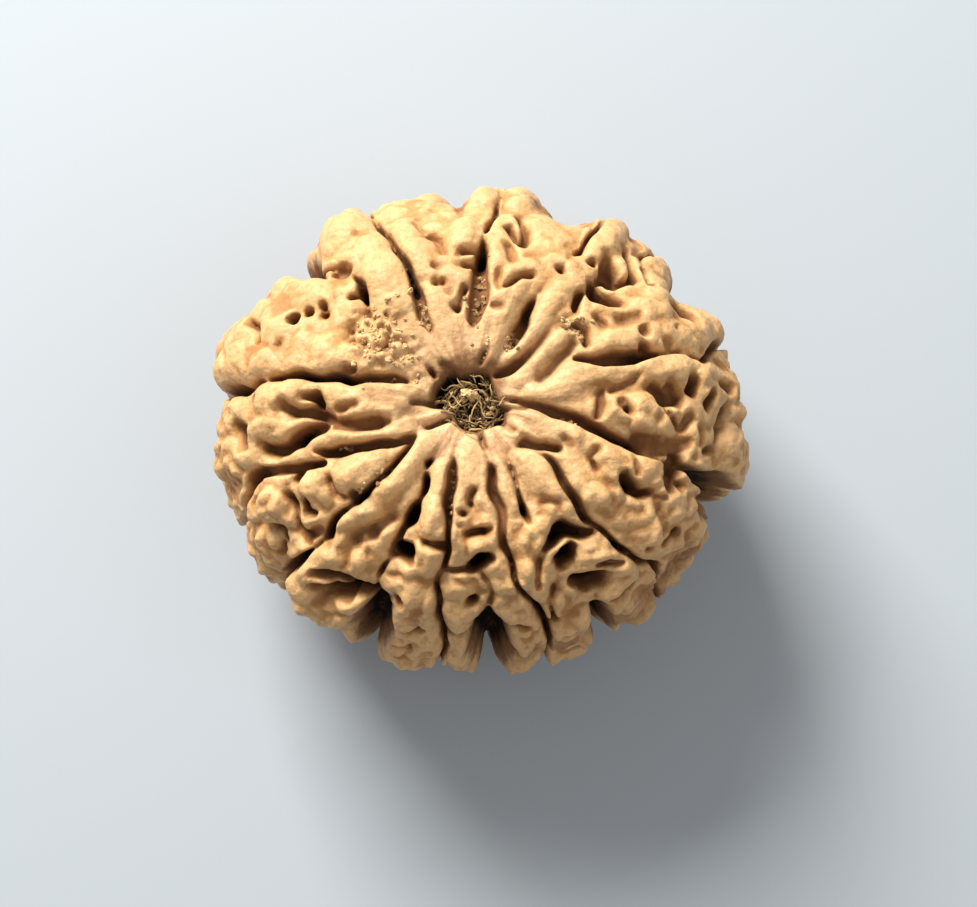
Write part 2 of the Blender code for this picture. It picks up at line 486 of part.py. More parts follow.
def main():
    """Builds the bead, stands it on z = 0 and trims its flat spot."""
    for item in list(bpy.data.objects):
        bpy.data.objects.remove(item, do_unlink=True)
    surface = carved_ball(BALL_STEPS)
    places = np.array([vertex.co[:] for vertex in surface.verts])
    low, high = places.min(axis=0), places.max(axis=0)
    floor = CENTRE[2] - HALF_HEIGHT + FLAT_TRIM
    shift = Vector((-(low[0] + high[0]) / 2, -(low[1] + high[1]) / 2, -floor))
    bmesh.ops.translate(surface, verts=surface.verts, vec=shift)
    bmesh.ops.scale(surface, verts=surface.verts, vec=(MM, MM, MM))
    mesh = bpy.data.meshes.new("bead")
    surface.to_mesh(mesh)
    face_count = len(mesh.polygons)
    surface.free()
    bead = bpy.data.objects.new("bead", mesh)
    bpy.context.collection.objects.link(bead)
    mesh.shade_smooth()
    mesh.materials.append(stone_material())
    soften = bead.modifiers.new("soften", "SMOOTH")
    soften.factor = 0.5
    soften.iterations = SMOOTH_ROUNDS
    thin = bead.modifiers.new("thin", "DECIMATE")
    thin.ratio = FACE_BUDGET / face_count
    cut = bead.modifiers.new("flat_spot", "BOOLEAN")
    cut.operation = "DIFFERENCE"
    cut.object = ground_cutter()


main()
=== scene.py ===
"""Looks of the rudraksha bead: the fine carved stone, what clings to it, and the stage.

The stone starts as a plain ball. Strokes laid on the squat body are read as heights and
depths, and the vertices are moved to them. Then the surface is softened, puffed a little
so that the creases close, meshed anew and thinned.

Places on the body are (bearing, colatitude) in degrees: bearing turns anticlockwise from
+X seen from above, colatitude is 0 at the top pole and 180 at the bottom one.
The carving works in millimetres, and the finished mesh is written in metres.
"""

import itertools
import math
import random

import bpy
import numpy as np
from bpy.props import FloatProperty, FloatVectorProperty, IntProperty, PointerProperty
from mathutils import Matrix, Vector
from mathutils.bvhtree import BVHTree
from mathutils.kdtree import KDTree


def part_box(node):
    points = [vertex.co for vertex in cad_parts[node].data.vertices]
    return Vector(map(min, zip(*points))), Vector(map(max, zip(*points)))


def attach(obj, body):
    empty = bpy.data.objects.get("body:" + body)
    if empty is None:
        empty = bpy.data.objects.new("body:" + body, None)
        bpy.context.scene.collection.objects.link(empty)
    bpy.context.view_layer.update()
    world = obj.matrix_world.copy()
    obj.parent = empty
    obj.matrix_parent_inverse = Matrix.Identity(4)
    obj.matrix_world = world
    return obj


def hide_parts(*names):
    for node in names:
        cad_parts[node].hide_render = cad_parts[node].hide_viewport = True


bl_info = {
    "name": "Rudraksha bead",
    "version": (1, 0, 0),
    "blender": (4, 5, 0),
    "location": "View3D > Sidebar > Bead",
    "description": "Builds the fine surface of a rudraksha bead on its packed frame",
    "category": "Add Mesh",
}

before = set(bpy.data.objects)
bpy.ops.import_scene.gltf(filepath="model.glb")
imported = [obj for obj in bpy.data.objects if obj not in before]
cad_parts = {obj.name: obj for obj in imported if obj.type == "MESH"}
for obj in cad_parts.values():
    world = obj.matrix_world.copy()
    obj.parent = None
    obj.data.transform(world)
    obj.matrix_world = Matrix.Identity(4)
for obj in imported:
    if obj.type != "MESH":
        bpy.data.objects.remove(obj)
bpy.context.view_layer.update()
LOW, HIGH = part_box("bead")

MM = 0.001

# Plain body, in millimetres. The relief stands out of it by STANDS_OUT on each side.
STANDS_OUT = Vector((0.65, 0.67, 0.0))
HALF_LENGTH = (HIGH.x - LOW.x) / 2 / MM - STANDS_OUT.x
HALF_WIDTH = (HIGH.y - LOW.y) / 2 / MM - STANDS_OUT.y
HALF_HEIGHT = 9.3
BOXINESS = 2.35
LEAN = (0.45, 0.05)
BODY_MIDDLE = np.array([LEAN[0], LEAN[1], HALF_HEIGHT])
FLAT_TRIM = 0.12
TOP_FUNNEL = 1.3
TOP_FUNNEL_REACH = 20.0
BOTTOM_FUNNEL = 0.1
BOTTOM_FUNNEL_REACH = 12.0
PORE_RADIUS = 0.7
PORE_DEPTH = 1.4
MOUTH_WALL = 0.45
MOUTH_WANDER = (1.3, 0.5, 71)
# painted shade down the mouth; the halo below is a darker patch over the mouth's north rim
MOUTH_DARK = 3.2
HALO_MIDDLE = (0.0, 0.8)
HALO_REACH = (1.2, 2.1)
HALO_DARK = 1.2

# Cuts
CLEFT_VALLEY_REACH = 1.4
CLEFT_WALL = 0.13
CLEFT_FULL_DEPTH = 1.5
CLEFT_DEEPEN = 1.15
PIT_WALL = 0.25
PATH_STEP = 1.2
UPRIGHT = 1.0
UPRIGHT_FADE = (35.0, 70.0)
SPREAD = 0.035
SPREAD_FADE = (60.0, 100.0)
RIDGE_BACK = 0.75

# Ball mesh, before and after
BALL_STEPS = 8
FINE_ABOVE = -0.05
SMOOTH_ROUNDS = 2
VOXEL = 0.08
UNDERSIDE_BELOW = 7.0
UPPER_FACES = 146000
UNDER_FACES = 48000
LAST_SMOOTH = 1

# What the material reads: rays over each vertex for the sky its hollows shut out, which the material
# paints as shade; rounds of averaging for its crowns, painted lighter as a highlight and darker as
# shade in creases; and the ring in which the pale colour of the pole fades out
RAY_COUNT = 16
RAY_REACH = 3.5
RAY_LIFT = 0.04
RAY_SEED = 3
CROWN_ROUNDS = 30
POLE_FADE = (1.5, 7.0)

# Camera and lights, for an image of this size
IMAGE_SIZE = (977, 907)
POLE_IN_IMAGE = (470.0, 402.0)
PIXELS_PER_MM = 18.7
SENSOR_WIDTH = 36.0
CLIP_NEAR = 0.001
CLIP_FAR = 10.0
POLE_HEIGHT = 17.18
MIDDLE_HEIGHT = 9.18
FLOOR_SIZE = 3.0
KEY_PLACE = Vector((-0.115, 0.21, 0.19))
KEY_SIZE = 0.15
KEY_COLOUR = (1.0, 0.96, 0.9)
FILL_PLACE = Vector((0.16, -0.08, 0.24))
FILL_SIZE = 0.2
FILL_COLOUR = (0.9, 0.95, 1.0)
SKY_COLOUR = (1.0, 0.965, 0.93, 1.0)


def underneath(*bearings):
    """The last three rows of a cleft, from the widest ring to near the bottom pole."""
    ends = ((100, 0.20, 1.9), (130, 0.20, 1.8), (160, 0.12, 0.8))
    return [(bearing, *end) for bearing, end in zip(bearings, ends)]


# Rows below are (bearing, colatitude, half width of the floor, depth).
# Clefts run from near the mouth to near the bottom pole.
CLEFTS = [
    [(119, 15, 0.2, 0.3), (118, 19, 0.5, 0.6), (116, 22, 0.52, 0.8), (115, 25, 0.44, 1.1),
     (115, 28, 0.24, 2.0), (115, 31, 0.2, 2.0), (115, 35, 0.24, 2.2), (115, 40, 0.2, 2.1),
     (115, 46, 0.14, 1.9), (115.5, 52, 0.1, 1.7), (116, 60, 0.12, 2.0), (116, 75, 0.2, 1.8),
     *underneath(114, 118, 115)],
    [(90, 14, 0.2, 0.3), (89, 16, 0.6, 0.6), (88, 20, 0.8, 0.8), (87.5, 24, 0.75, 0.8),
     (87.5, 28, 0.62, 0.9), (87.5, 31, 0.55, 1.2), (87.5, 35, 0.5, 1.8), (87.5, 38, 0.22, 1.4),
     (87, 41, 0.04, 0.4), (86.5, 43.5, 0.13, 1.9), (86, 50, 0.12, 1.6), (85.5, 57, 0.08, 1.4),
     (85, 62, 0.05, 0.6), (85, 75, 0.06, 0.6), *underneath(88, 85, 90)],
    [(57, 11.5, 0.12, 0.4), (59, 13, 0.34, 0.6), (60, 15, 0.46, 0.7), (61, 17.5, 0.4, 0.9),
     (62, 20, 0.3, 1.2), (62, 23, 0.18, 1.2), (61.5, 25, 0.07, 0.6), (60, 34, 0.04, 0.2),
     (60, 42, 0.08, 0.4), (60, 45, 0.22, 1.4), (60, 48, 0.13, 1.0), (59.5, 54, 0.2, 1.5),
     (60, 62, 0.1, 1.1), (61, 75, 0.15, 1.5), *underneath(62, 58, 60)],
    [(50, 6, 0.18, 0.8), (43, 8.5, 0.4, 0.65), (42, 12, 0.45, 0.45), (42.5, 15.5, 0.42, 0.3),
     (45, 19, 0.34, 0.15), (45, 23, 0.3, 0.15), (45, 27, 0.26, 0.3), (48, 29, 0.3, 0.8),
     (49.5, 32, 0.4, 1.0), (49, 34.5, 0.1, 0.5)],
    [(45, 60, 0.1, 0.8), (48, 66, 0.14, 1.2), (47, 80, 0.14, 1.2), *underneath(42, 40, 42)],
    [(24, 20, 0.2, 0.7), (23, 21.5, 0.32, 1.1), (20, 25, 0.5, 1.0), (18.5, 30, 0.5, 1.2),
     (18, 35, 0.5, 1.4), (17.5, 38, 0.36, 1.4), (17, 41, 0.1, 0.5), (16.5, 47, 0.12, 0.6),
     (15, 52, 0.25, 1.0), (14, 56, 0.22, 1.0), (15.5, 60, 0.2, 1.2), (18.5, 67, 0.36, 1.9),
     (20, 77, 0.3, 1.9), *underneath(19, 16, 20)],
    [(369, 5, 0.15, 0.3), (364, 6.5, 0.28, 0.5), (358, 8.5, 0.34, 0.6), (354.5, 11, 0.4, 0.75),
     (350, 14, 0.42, 0.9), (348.5, 17, 0.46, 1.1), (347.5, 20, 0.5, 1.2), (346.5, 23, 0.44, 1.3),
     (345, 25.5, 0.36, 1.5), (344, 29, 0.28, 1.5), (343, 32.5, 0.4, 1.6), (341, 34.5, 0.2, 1.2),
     (341, 40, 0.06, 0.8), (341.5, 46, 0.1, 0.9), (341.5, 52, 0.4, 1.2), (342, 58, 0.6, 1.5),
     (342, 66, 1.2, 2.3), (341, 85, 1.7, 3.4), (340, 100, 1.7, 3.3), (341, 114, 1.0, 2.4),
     (342, 130, 0.25, 1.8), (344, 160, 0.12, 0.8)],
    [(318.5, 15, 0.1, 0.3), (318, 17.5, 0.26, 0.7), (316, 21, 0.32, 0.9), (313, 26, 0.36, 1.1),
     (311.5, 31, 0.36, 1.3), (311, 35, 0.24, 1.4), (311.5, 38, 0.16, 1.7), (312, 43, 0.18, 2.1),
     (313, 48, 0.24, 2.2), (313.5, 53, 0.18, 2.1), (315, 58, 0.24, 2.2), (316.5, 63, 0.24, 2.1),
     (316, 75, 0.2, 1.8), *underneath(313, 317, 314)],
    [(303, 11, 0.06, 0.2), (297, 14.5, 0.18, 0.8), (294, 19, 0.12, 0.7), (292.5, 22, 0.2, 1.2),
     (292, 24.5, 0.28, 2.0), (292.5, 27.5, 0.1, 0.8)],
    [(291, 47, 0.12, 1.4), (290.5, 49, 0.18, 1.7), (288.5, 52, 0.1, 1.2), (288, 60, 0.16, 1.0)],
    [(283, 11, 0.12, 0.2), (282.5, 13, 0.36, 0.6), (282, 17, 0.36, 0.7), (282, 22, 0.34, 0.7),
     (281.5, 27, 0.32, 0.7), (281, 32, 0.3, 0.7), (281, 36, 0.18, 1.2), (281, 40, 0.12, 1.9),
     (282.5, 45, 0.15, 2.1), (284, 50, 0.19, 2.2), (285.5, 56, 0.24, 2.3), (286, 63, 0.21, 2.2),
     (286, 72, 0.2, 2.0), *underneath(284, 281, 284)],
    [(255, 10.5, 0.14, 0.2), (255.5, 12.5, 0.36, 0.6), (256, 15, 0.42, 0.8), (257, 19, 0.4, 0.9),
     (258.5, 23, 0.34, 1.0), (259.3, 27, 0.22, 1.3), (260, 32, 0.13, 2.0), (260, 38, 0.12, 2.0),
     (259, 44, 0.13, 2.0), (259.6, 49, 0.17, 2.1), (261, 57, 0.2, 2.1), (262, 64, 0.2, 2.1),
     (262.5, 72, 0.2, 2.0), (261, 85, 0.2, 1.9), (262, 130, 0.2, 1.8), (259, 160, 0.12, 0.8)],
    [(236.5, 12.5, 0.15, 0.5), (236.5, 13.7, 0.25, 1.4), (238.5, 15.5, 0.08, 0.6), (241, 17, 0.24, 1.6),
     (243, 19.5, 0.22, 1.6), (244, 22, 0.16, 1.1), (244, 25, 0.4, 1.9), (243.5, 27.5, 0.44, 2.1),
     (243, 31, 0.2, 1.2), (243.5, 34, 0.18, 1.1), (243, 41, 0.12, 0.9), (242.5, 46, 0.15, 1.3),
     (243, 51, 0.26, 1.7)],
    [(217, 11, 0.1, 0.3), (219, 14.5, 0.22, 0.8), (221.5, 17.5, 0.24, 1.0), (222.5, 20.5, 0.24, 1.1),
     (223, 24.5, 0.24, 1.3), (223, 28, 0.3, 1.7), (222.5, 31, 0.36, 2.0), (222.5, 33.5, 0.12, 1.0),
     (222.8, 38, 0.28, 1.0), (223, 42, 0.3, 1.4), (223.5, 44.5, 0.38, 2.2), (223.5, 47.5, 0.12, 1.2),
     (223, 52, 0.15, 1.4), (222.5, 56, 0.38, 2.1), (222, 61.5, 0.45, 2.4), (221.5, 70, 0.42, 2.3),
     (222, 80, 0.35, 2.2), *underneath(224, 220, 222)],
    [(214.5, 11.5, 0.2, 0.5), (213, 13, 0.34, 0.7), (209, 17, 0.38, 0.9), (206.5, 21.5, 0.38, 1.0),
     (202.5, 27.5, 0.38, 1.1), (200, 32, 0.32, 1.1), (199, 34, 0.12, 0.5)],
    [(203.5, 33, 0.2, 0.8), (203, 36.5, 0.34, 1.2), (202.5, 40.5, 0.42, 0.9), (200.5, 44, 0.5, 0.7),
     (198.5, 50, 0.5, 0.7), (197, 55, 0.5, 0.8), (198, 60, 0.45, 1.1), (201, 66, 0.3, 1.6),
     (204, 75, 0.4, 1.9), (205, 90, 0.4, 1.9), (203, 110, 0.22, 1.6), (199, 130, 0.2, 1.8),
     (202, 160, 0.12, 0.8)],
    [(163, 9, 0.1, 0.3), (163, 13.5, 0.34, 0.7), (165.5, 17, 0.34, 0.8), (167, 19.5, 0.36, 0.9),
     (168.5, 22.5, 0.36, 1.2), (168, 25.5, 0.26, 1.8), (169.5, 30, 0.2, 2.1), (169.7, 36, 0.26, 2.3),
     (170.5, 40, 0.22, 2.2), (171.5, 46, 0.2, 2.1), (172.5, 51, 0.2, 2.0), (174, 56, 0.28, 1.9),
     (173.5, 62, 0.38, 1.7), (173, 72, 0.3, 1.7), *underneath(171, 175, 171)],
    [(142, 6.5, 0.14, 0.7), (139, 8.5, 0.2, 0.9), (138, 11, 0.06, 0.2), (138, 24, 0.08, 0.2),
     (137, 28, 0.18, 0.6), (135, 31, 0.2, 1.0), (133.5, 33, 0.34, 1.4), (131.5, 35, 0.32, 1.6),
     (130.5, 37, 0.14, 1.2), (131, 41, 0.05, 0.5)],
]

# Wider hollows and gaps, each with its own wall: (wall, rows)
HOLLOWS = [
    # gaps that notch the outline
    (0.9, [(272.3, 52, 0.06, 1.0), (272, 55, 0.2, 1.9), (272, 58, 0.45, 2.5), (272.5, 62, 0.65, 3.3),
           (272.5, 68, 0.7, 4.0), (273, 80, 0.85, 4.2), (273, 92, 0.6, 3.2), (272, 106, 0.25, 2.2),
           (270, 140, 0.2, 1.8), (270, 160, 0.1, 0.8)]),
    (0.7, [(244.5, 53, 0.15, 1.7), (245.5, 58, 0.45, 2.7), (245.5, 65, 0.7, 3.3), (245, 78, 0.8, 3.5),
           (244, 90, 0.6, 3.0), (244, 104, 0.25, 1.9), (246, 130, 0.2, 1.8), (243, 160, 0.1, 0.8)]),
    (0.8, [(298.5, 62, 0.1, 1.3), (299, 68, 0.3, 2.2), (299, 80, 0.4, 2.6), (299, 95, 0.4, 2.5),
           (299, 115, 0.25, 1.9), (297, 130, 0.2, 1.8), (299, 160, 0.1, 0.8)]),
    (0.8, [(136, 49, 0.05, 0.6), (136.5, 54, 0.25, 1.5), (136.5, 60, 0.4, 2.0), (136.5, 72, 0.5, 2.3),
           (137, 88, 0.5, 2.3), (136.5, 105, 0.25, 1.9), (136, 130, 0.2, 1.8),
           (136, 160, 0.1, 0.8)]),
    (0.9, [(95, 50, 0.05, 0.2), (95, 58, 0.25, 0.5), (95, 72, 0.35, 0.8), (95, 95, 0.3, 0.8),
           (95, 120, 0.1, 0.5)]),
    (2.4, [(68, 56, 0.1, 0.3), (69, 70, 0.5, 1.5), (69, 95, 0.5, 1.5), (68, 120, 0.2, 0.3)]),
    (2.4, [(35, 60, 0.1, 0.3), (35, 74, 0.5, 1.2), (35, 95, 0.5, 1.2), (35, 120, 0.2, 0.3)]),
    (4.5, [(280, 84, 0.5, 0.6), (300, 84, 1.5, 0.5), (320, 84, 1.5, 0.55), (335, 84, 1.0, 0.8)]),
    (1.6, [(337, 60, 0.2, 0.4), (337, 70, 0.6, 1.0), (337, 86, 0.6, 1.0), (337, 104, 0.3, 0.4)]),
    # north-east holes
    (0.35, [(48.5, 36.8, 0.24, 1.4), (46, 35.3, 0.32, 1.8), (42, 36.2, 0.24, 1.6),
            (38.5, 38.3, 0.14, 1.2)]),
    (0.35, [(48, 40, 0.26, 1.2), (46.5, 42.5, 0.5, 1.6), (49, 45.5, 0.45, 1.3),
            (51.5, 49, 0.25, 0.6)]),
    (0.35, [(44.5, 44, 0.16, 1.1), (43, 47.5, 0.18, 1.1), (43.5, 50, 0.2, 1.2), (47, 54, 0.18, 1.1),
            (51, 58.5, 0.12, 0.8)]),
    (0.5, [(31, 53, 0.12, 0.5), (29.5, 57, 0.36, 0.8), (27, 59, 0.42, 0.9), (24.5, 59, 0.12, 0.7)]),
    # east hollows
    (0.6, [(345, 34, 0.4, 1.2), (345, 38, 0.6, 0.7), (347, 43, 0.5, 0.6), (349, 48, 0.3, 0.6)]),
    (0.4, [(343.5, 45.5, 0.35, 1.3), (340, 46, 0.45, 1.5), (335.5, 47, 0.3, 1.3)]),
    (0.5, [(5, 36.5, 0.22, 1.0), (3, 39, 0.42, 1.4), (2, 43, 0.3, 1.0), (6, 41.5, 0.3, 0.8)]),
    (0.5, [(4.5, 24, 0.18, 0.5), (359, 23.5, 0.24, 0.7), (353, 22.5, 0.18, 0.8)]),
    (0.5, [(359, 28.5, 0.25, 0.6), (356, 29.5, 0.2, 0.7)]),
    (0.35, [(356.5, 29.3, 0.16, 1.3), (355, 30, 0.12, 1.2)]),
    # south-east and south holes
    (0.35, [(331, 34.5, 0.22, 1.6), (329, 37, 0.28, 2.0), (327.5, 40, 0.14, 1.6),
            (330, 42, 0.1, 1.0)]),
    (0.35, [(309.5, 38.5, 0.14, 1.2), (306, 36, 0.28, 1.8), (302, 33, 0.34, 2.2), (299, 33, 0.34, 2.3),
            (296.5, 34, 0.26, 2.1), (293, 35.5, 0.14, 1.2)]),
    (0.35, [(300.5, 38.3, 0.2, 1.6), (298.3, 39.3, 0.34, 2.5), (296, 40.5, 0.26, 2.0),
            (295, 42, 0.14, 1.2)]),
    (0.4, [(297.5, 48, 0.28, 2.2), (300, 50.5, 0.46, 3.0), (302.5, 51.5, 0.34, 2.6),
           (304.5, 50.8, 0.16, 1.4)]),
    (0.3, [(304.5, 47.5, 0.1, 0.8), (307.5, 48.5, 0.14, 1.0), (310, 50.5, 0.1, 0.6)]),
    (0.3, [(267, 28.5, 0.1, 0.8), (270, 28, 0.2, 1.0), (273, 27.3, 0.18, 1.2),
           (276, 26.5, 0.08, 0.8)]),
    (0.3, [(267.5, 38, 0.14, 1.3), (269.5, 37, 0.32, 2.0), (271.5, 35.5, 0.38, 2.4),
           (274.5, 34.8, 0.22, 1.7)]),
    (0.35, [(243.5, 38.5, 0.18, 1.2), (245, 36.7, 0.32, 2.2), (247.5, 36.8, 0.32, 2.2),
            (249.5, 38.5, 0.14, 1.2)]),
    # south-west hollows
    (0.25, [(228, 56.5, 0.1, 1.8), (232.5, 55, 0.16, 2.6), (237, 54.3, 0.3, 3.2),
            (242, 53, 0.24, 3.0)]),
    (0.25, [(229.5, 61, 0.14, 2.0), (232, 60.5, 0.26, 3.4), (235, 59.5, 0.28, 3.6),
            (237.5, 57.5, 0.2, 3.2)]),
    (0.6, [(237, 29.5, 0.22, 0.5), (235.5, 36, 0.36, 0.7), (231.5, 41, 0.22, 0.5)]),
    # west holes
    (0.35, [(177, 34.5, 0.16, 0.9), (177.5, 31.3, 0.26, 1.6), (181, 30.3, 0.2, 1.4)]),
    (0.4, [(180.5, 40, 0.24, 0.7), (182.5, 37, 0.24, 1.1), (184, 32, 0.26, 1.5),
           (187.5, 27.5, 0.16, 1.0)]),
    (0.4, [(190, 26.5, 0.24, 0.9), (193, 21.5, 0.32, 1.0), (194.5, 17, 0.34, 0.9),
           (194, 14.8, 0.16, 0.6)]),
    (0.4, [(189.5, 30, 0.22, 1.1), (191, 35, 0.34, 1.8), (193, 38, 0.34, 2.2), (194, 41.5, 0.22, 1.4),
           (193, 46, 0.22, 1.1), (192, 50, 0.18, 0.9)]),
    (0.4, [(183.5, 61, 0.16, 0.8), (185.5, 58.5, 0.34, 1.4), (188.5, 58.5, 0.2, 1.1)]),
]

# Short grooves on the lobes: (half width, depth, wall, points)
GROOVES = [
    # north lobes
    (0.08, 0.5, 0.4, [(107, 50), (105, 46)]),
    (0.13, 0.6, 0.4, [(104, 44), (102, 40), (100, 36)]),
    (0.12, 0.9, 0.3, [(101, 19.5), (99, 18.5), (97, 21), (94, 24)]),
    (0.14, 0.9, 0.4, [(94, 35), (88, 35)]),
    (0.1, 1.2, 0.35, [(93, 30.3), (88, 30)]),
    (0.1, 0.9, 0.35, [(81.5, 45), (77.5, 40)]),
    (0.18, 0.8, 0.4, [(79, 51), (77, 46), (75.5, 41)]),
    (0.22, 0.5, 0.5, [(79, 37), (77, 33)]),
    (0.09, 0.8, 0.35, [(76.5, 24.5), (74, 26), (71.5, 28.5), (68, 29)]),
    (0.12, 0.4, 0.4, [(80, 28), (79, 24)]),
    (0.16, 0.4, 0.4, [(79.5, 19), (76, 19)]),
    (0.16, 0.7, 0.3, [(77, 8.5), (77, 6.8)]),
    (0.1, 0.5, 0.3, [(44, 56), (41, 54), (39.5, 52.5)]),
    (0.2, 0.4, 0.5, [(33, 35), (31.5, 39.5)]),
    (0.14, 0.5, 0.4, [(38, 30), (33, 30)]),
    (0.2, 0.5, 0.6, [(22, 12), (26, 15), (30, 19), (33, 21)]),
    (0.18, 0.8, 0.4, [(40, 24), (35, 25), (31, 24)]),
    (0.18, 1.3, 0.35, [(18, 37.5), (21, 37)]),
    # grooves at the rim of the mouth
    (0.14, 0.9, 0.25, [(183, 4.5), (182.5, 9)]),
    (0.14, 0.8, 0.25, [(214, 4.5), (213, 8)]),
    (0.1, 0.8, 0.25, [(288, 5), (286, 8)]),
    (0.14, 0.5, 0.25, [(322, 4.5), (321, 8)]),
    (0.15, 0.6, 0.25, [(348, 5), (352, 8)]),
    (0.14, 0.5, 0.25, [(122, 5), (124, 8)]),
    # east lobes
    (0.1, 1.0, 0.35, [(358.5, 40), (354, 44.5)]),
    (0.24, 0.6, 0.5, [(354, 46), (357, 48)]),
    (0.24, 1.3, 0.3, [(7.5, 49), (5, 48)]),
    (0.2, 1.1, 0.3, [(4.5, 57), (2, 54.5)]),
    (0.16, 1.1, 0.4, [(3, 66), (359, 63), (354.5, 61)]),
    (0.14, 0.6, 0.4, [(347.5, 55), (350, 59.5)]),
    (0.18, 0.9, 0.3, [(8, 63), (7, 67)]),
    (0.1, 0.5, 0.5, [(350, 53), (355, 52)]),
    (0.14, 0.5, 0.5, [(5, 26), (9, 30), (11, 33)]),
    # south-east lobes
    (0.1, 0.8, 0.35, [(336.5, 25), (331, 24.5), (328, 27.5)]),
    (0.14, 0.5, 0.4, [(335, 17), (333, 19)]),
    (0.07, 0.6, 0.3, [(339, 34), (334, 37)]),
    (0.08, 0.5, 0.3, [(330, 44), (332, 47)]),
    (0.2, 0.9, 0.35, [(318.5, 11), (323, 14), (328.5, 16.5)]),
    (0.13, 1.2, 0.3, [(322, 56), (326, 58)]),
    (0.22, 0.5, 0.6, [(327, 48), (325, 52)]),
    (0.16, 0.9, 0.4, [(337, 45), (337, 50)]),
    (0.12, 0.9, 0.4, [(303, 63.5), (308, 64), (312, 62)]),
    (0.08, 0.7, 0.35, [(289.8, 38.5), (287, 42.5), (287, 45)]),
    (0.1, 0.4, 0.4, [(305, 26), (301, 24)]),
    # south lobes
    (0.09, 1.1, 0.3, [(261, 38), (267.5, 38.3)]),
    (0.07, 0.9, 0.3, [(271.5, 38), (273.5, 43), (274, 46), (272.5, 50)]),
    (0.12, 0.7, 0.4, [(277, 58), (281, 60)]),
    (0.14, 1.1, 0.4, [(262, 64), (266, 64.5), (269, 64)]),
    (0.14, 0.6, 0.4, [(271, 17), (269, 19)]),
    (0.15, 1.3, 0.3, [(252, 32.5), (256, 32), (259.5, 32)]),
    (0.14, 1.3, 0.3, [(249, 67.5), (253, 66), (256.5, 65)]),
    (0.08, 0.7, 0.3, [(251, 76), (254.5, 75)]),
    (0.1, 0.9, 0.3, [(249, 51), (250, 53)]),
    # south-west lobes
    (0.18, 1.3, 0.35, [(222, 31.5), (219.5, 31)]),
    (0.1, 0.6, 0.45, [(219, 32.5), (215.5, 34), (210, 33)]),
    (0.12, 1.1, 0.35, [(214, 44.5), (216.5, 42.5)]),
    (0.1, 0.9, 0.3, [(208, 47.5), (212.5, 48), (216.5, 50), (221, 51)]),
    (0.14, 1.2, 0.3, [(211.5, 59), (213.5, 57), (216, 57.5)]),
    (0.1, 0.8, 0.3, [(217, 60), (217.5, 66)]),
    (0.22, 0.6, 0.5, [(221, 46), (219.5, 49)]),
    # west lobes
    (0.18, 1.2, 0.3, [(204, 39.5), (205.5, 42)]),
    (0.18, 0.4, 0.4, [(184, 25), (183.5, 21)]),
    (0.08, 0.5, 0.4, [(176.5, 52), (181, 51)]),
    (0.1, 0.4, 0.3, [(184, 9), (181, 5.5)]),
    (0.11, 0.8, 0.3, [(156, 64), (156.5, 58), (160.5, 55.5)]),
    (0.2, 1.1, 0.4, [(163, 72), (166, 68)]),
    (0.1, 1.1, 0.3, [(137, 57), (133.5, 52), (130.5, 46)]),
    (0.24, 0.7, 0.4, [(133, 47), (131.5, 43.5)]),
    (0.24, 0.4, 0.6, [(140, 28), (146, 28), (151, 27)]),
    (0.12, 0.8, 0.3, [(165, 25), (163.5, 23)]),
]

# Round holes: (bearing, colatitude, radius, depth)
PITS = [
    (152.5, 45.5, 0.3, 2.0), (148.5, 42, 0.17, 1.2), (146.5, 38, 0.15, 1.1), (144.5, 39.5, 0.18, 0.7),
    (161, 45.5, 0.1, 0.3), (61, 34.5, 0.16, 1.1), (54, 43, 0.24, 1.1), (39, 53.5, 0.16, 0.7),
    (26, 39.5, 0.3, 0.5), (19.5, 44, 0.34, 0.4), (24, 49, 0.08, 0.3), (106, 26, 0.14, 0.6),
    (103, 26, 0.14, 0.7), (101.5, 23, 0.09, 0.5), (105, 31, 0.16, 0.4), (106, 52, 0.08, 0.4),
    (75.5, 40, 0.22, 1.5), (136, 34.5, 0.22, 0.9), (137.5, 27, 0.12, 0.7), (141.5, 30, 0.12, 0.6),
    (147.5, 27.5, 0.15, 0.8), (152, 26, 0.13, 0.7), (145, 22, 0.08, 0.4), (140, 19, 0.08, 0.4),
    (212.5, 43.5, 0.24, 1.3), (268.7, 48, 0.2, 1.3), (269, 20.5, 0.14, 0.8), (264.5, 23, 0.15, 0.8),
    (297, 14.5, 0.16, 0.8), (287.7, 60.5, 0.2, 0.9), (281, 60, 0.12, 0.8), (264, 26.5, 0.1, 0.4),
    (191, 27.5, 0.1, 0.3), (122, 54, 0.12, 0.3), (318, 53, 0.14, 0.4),
]

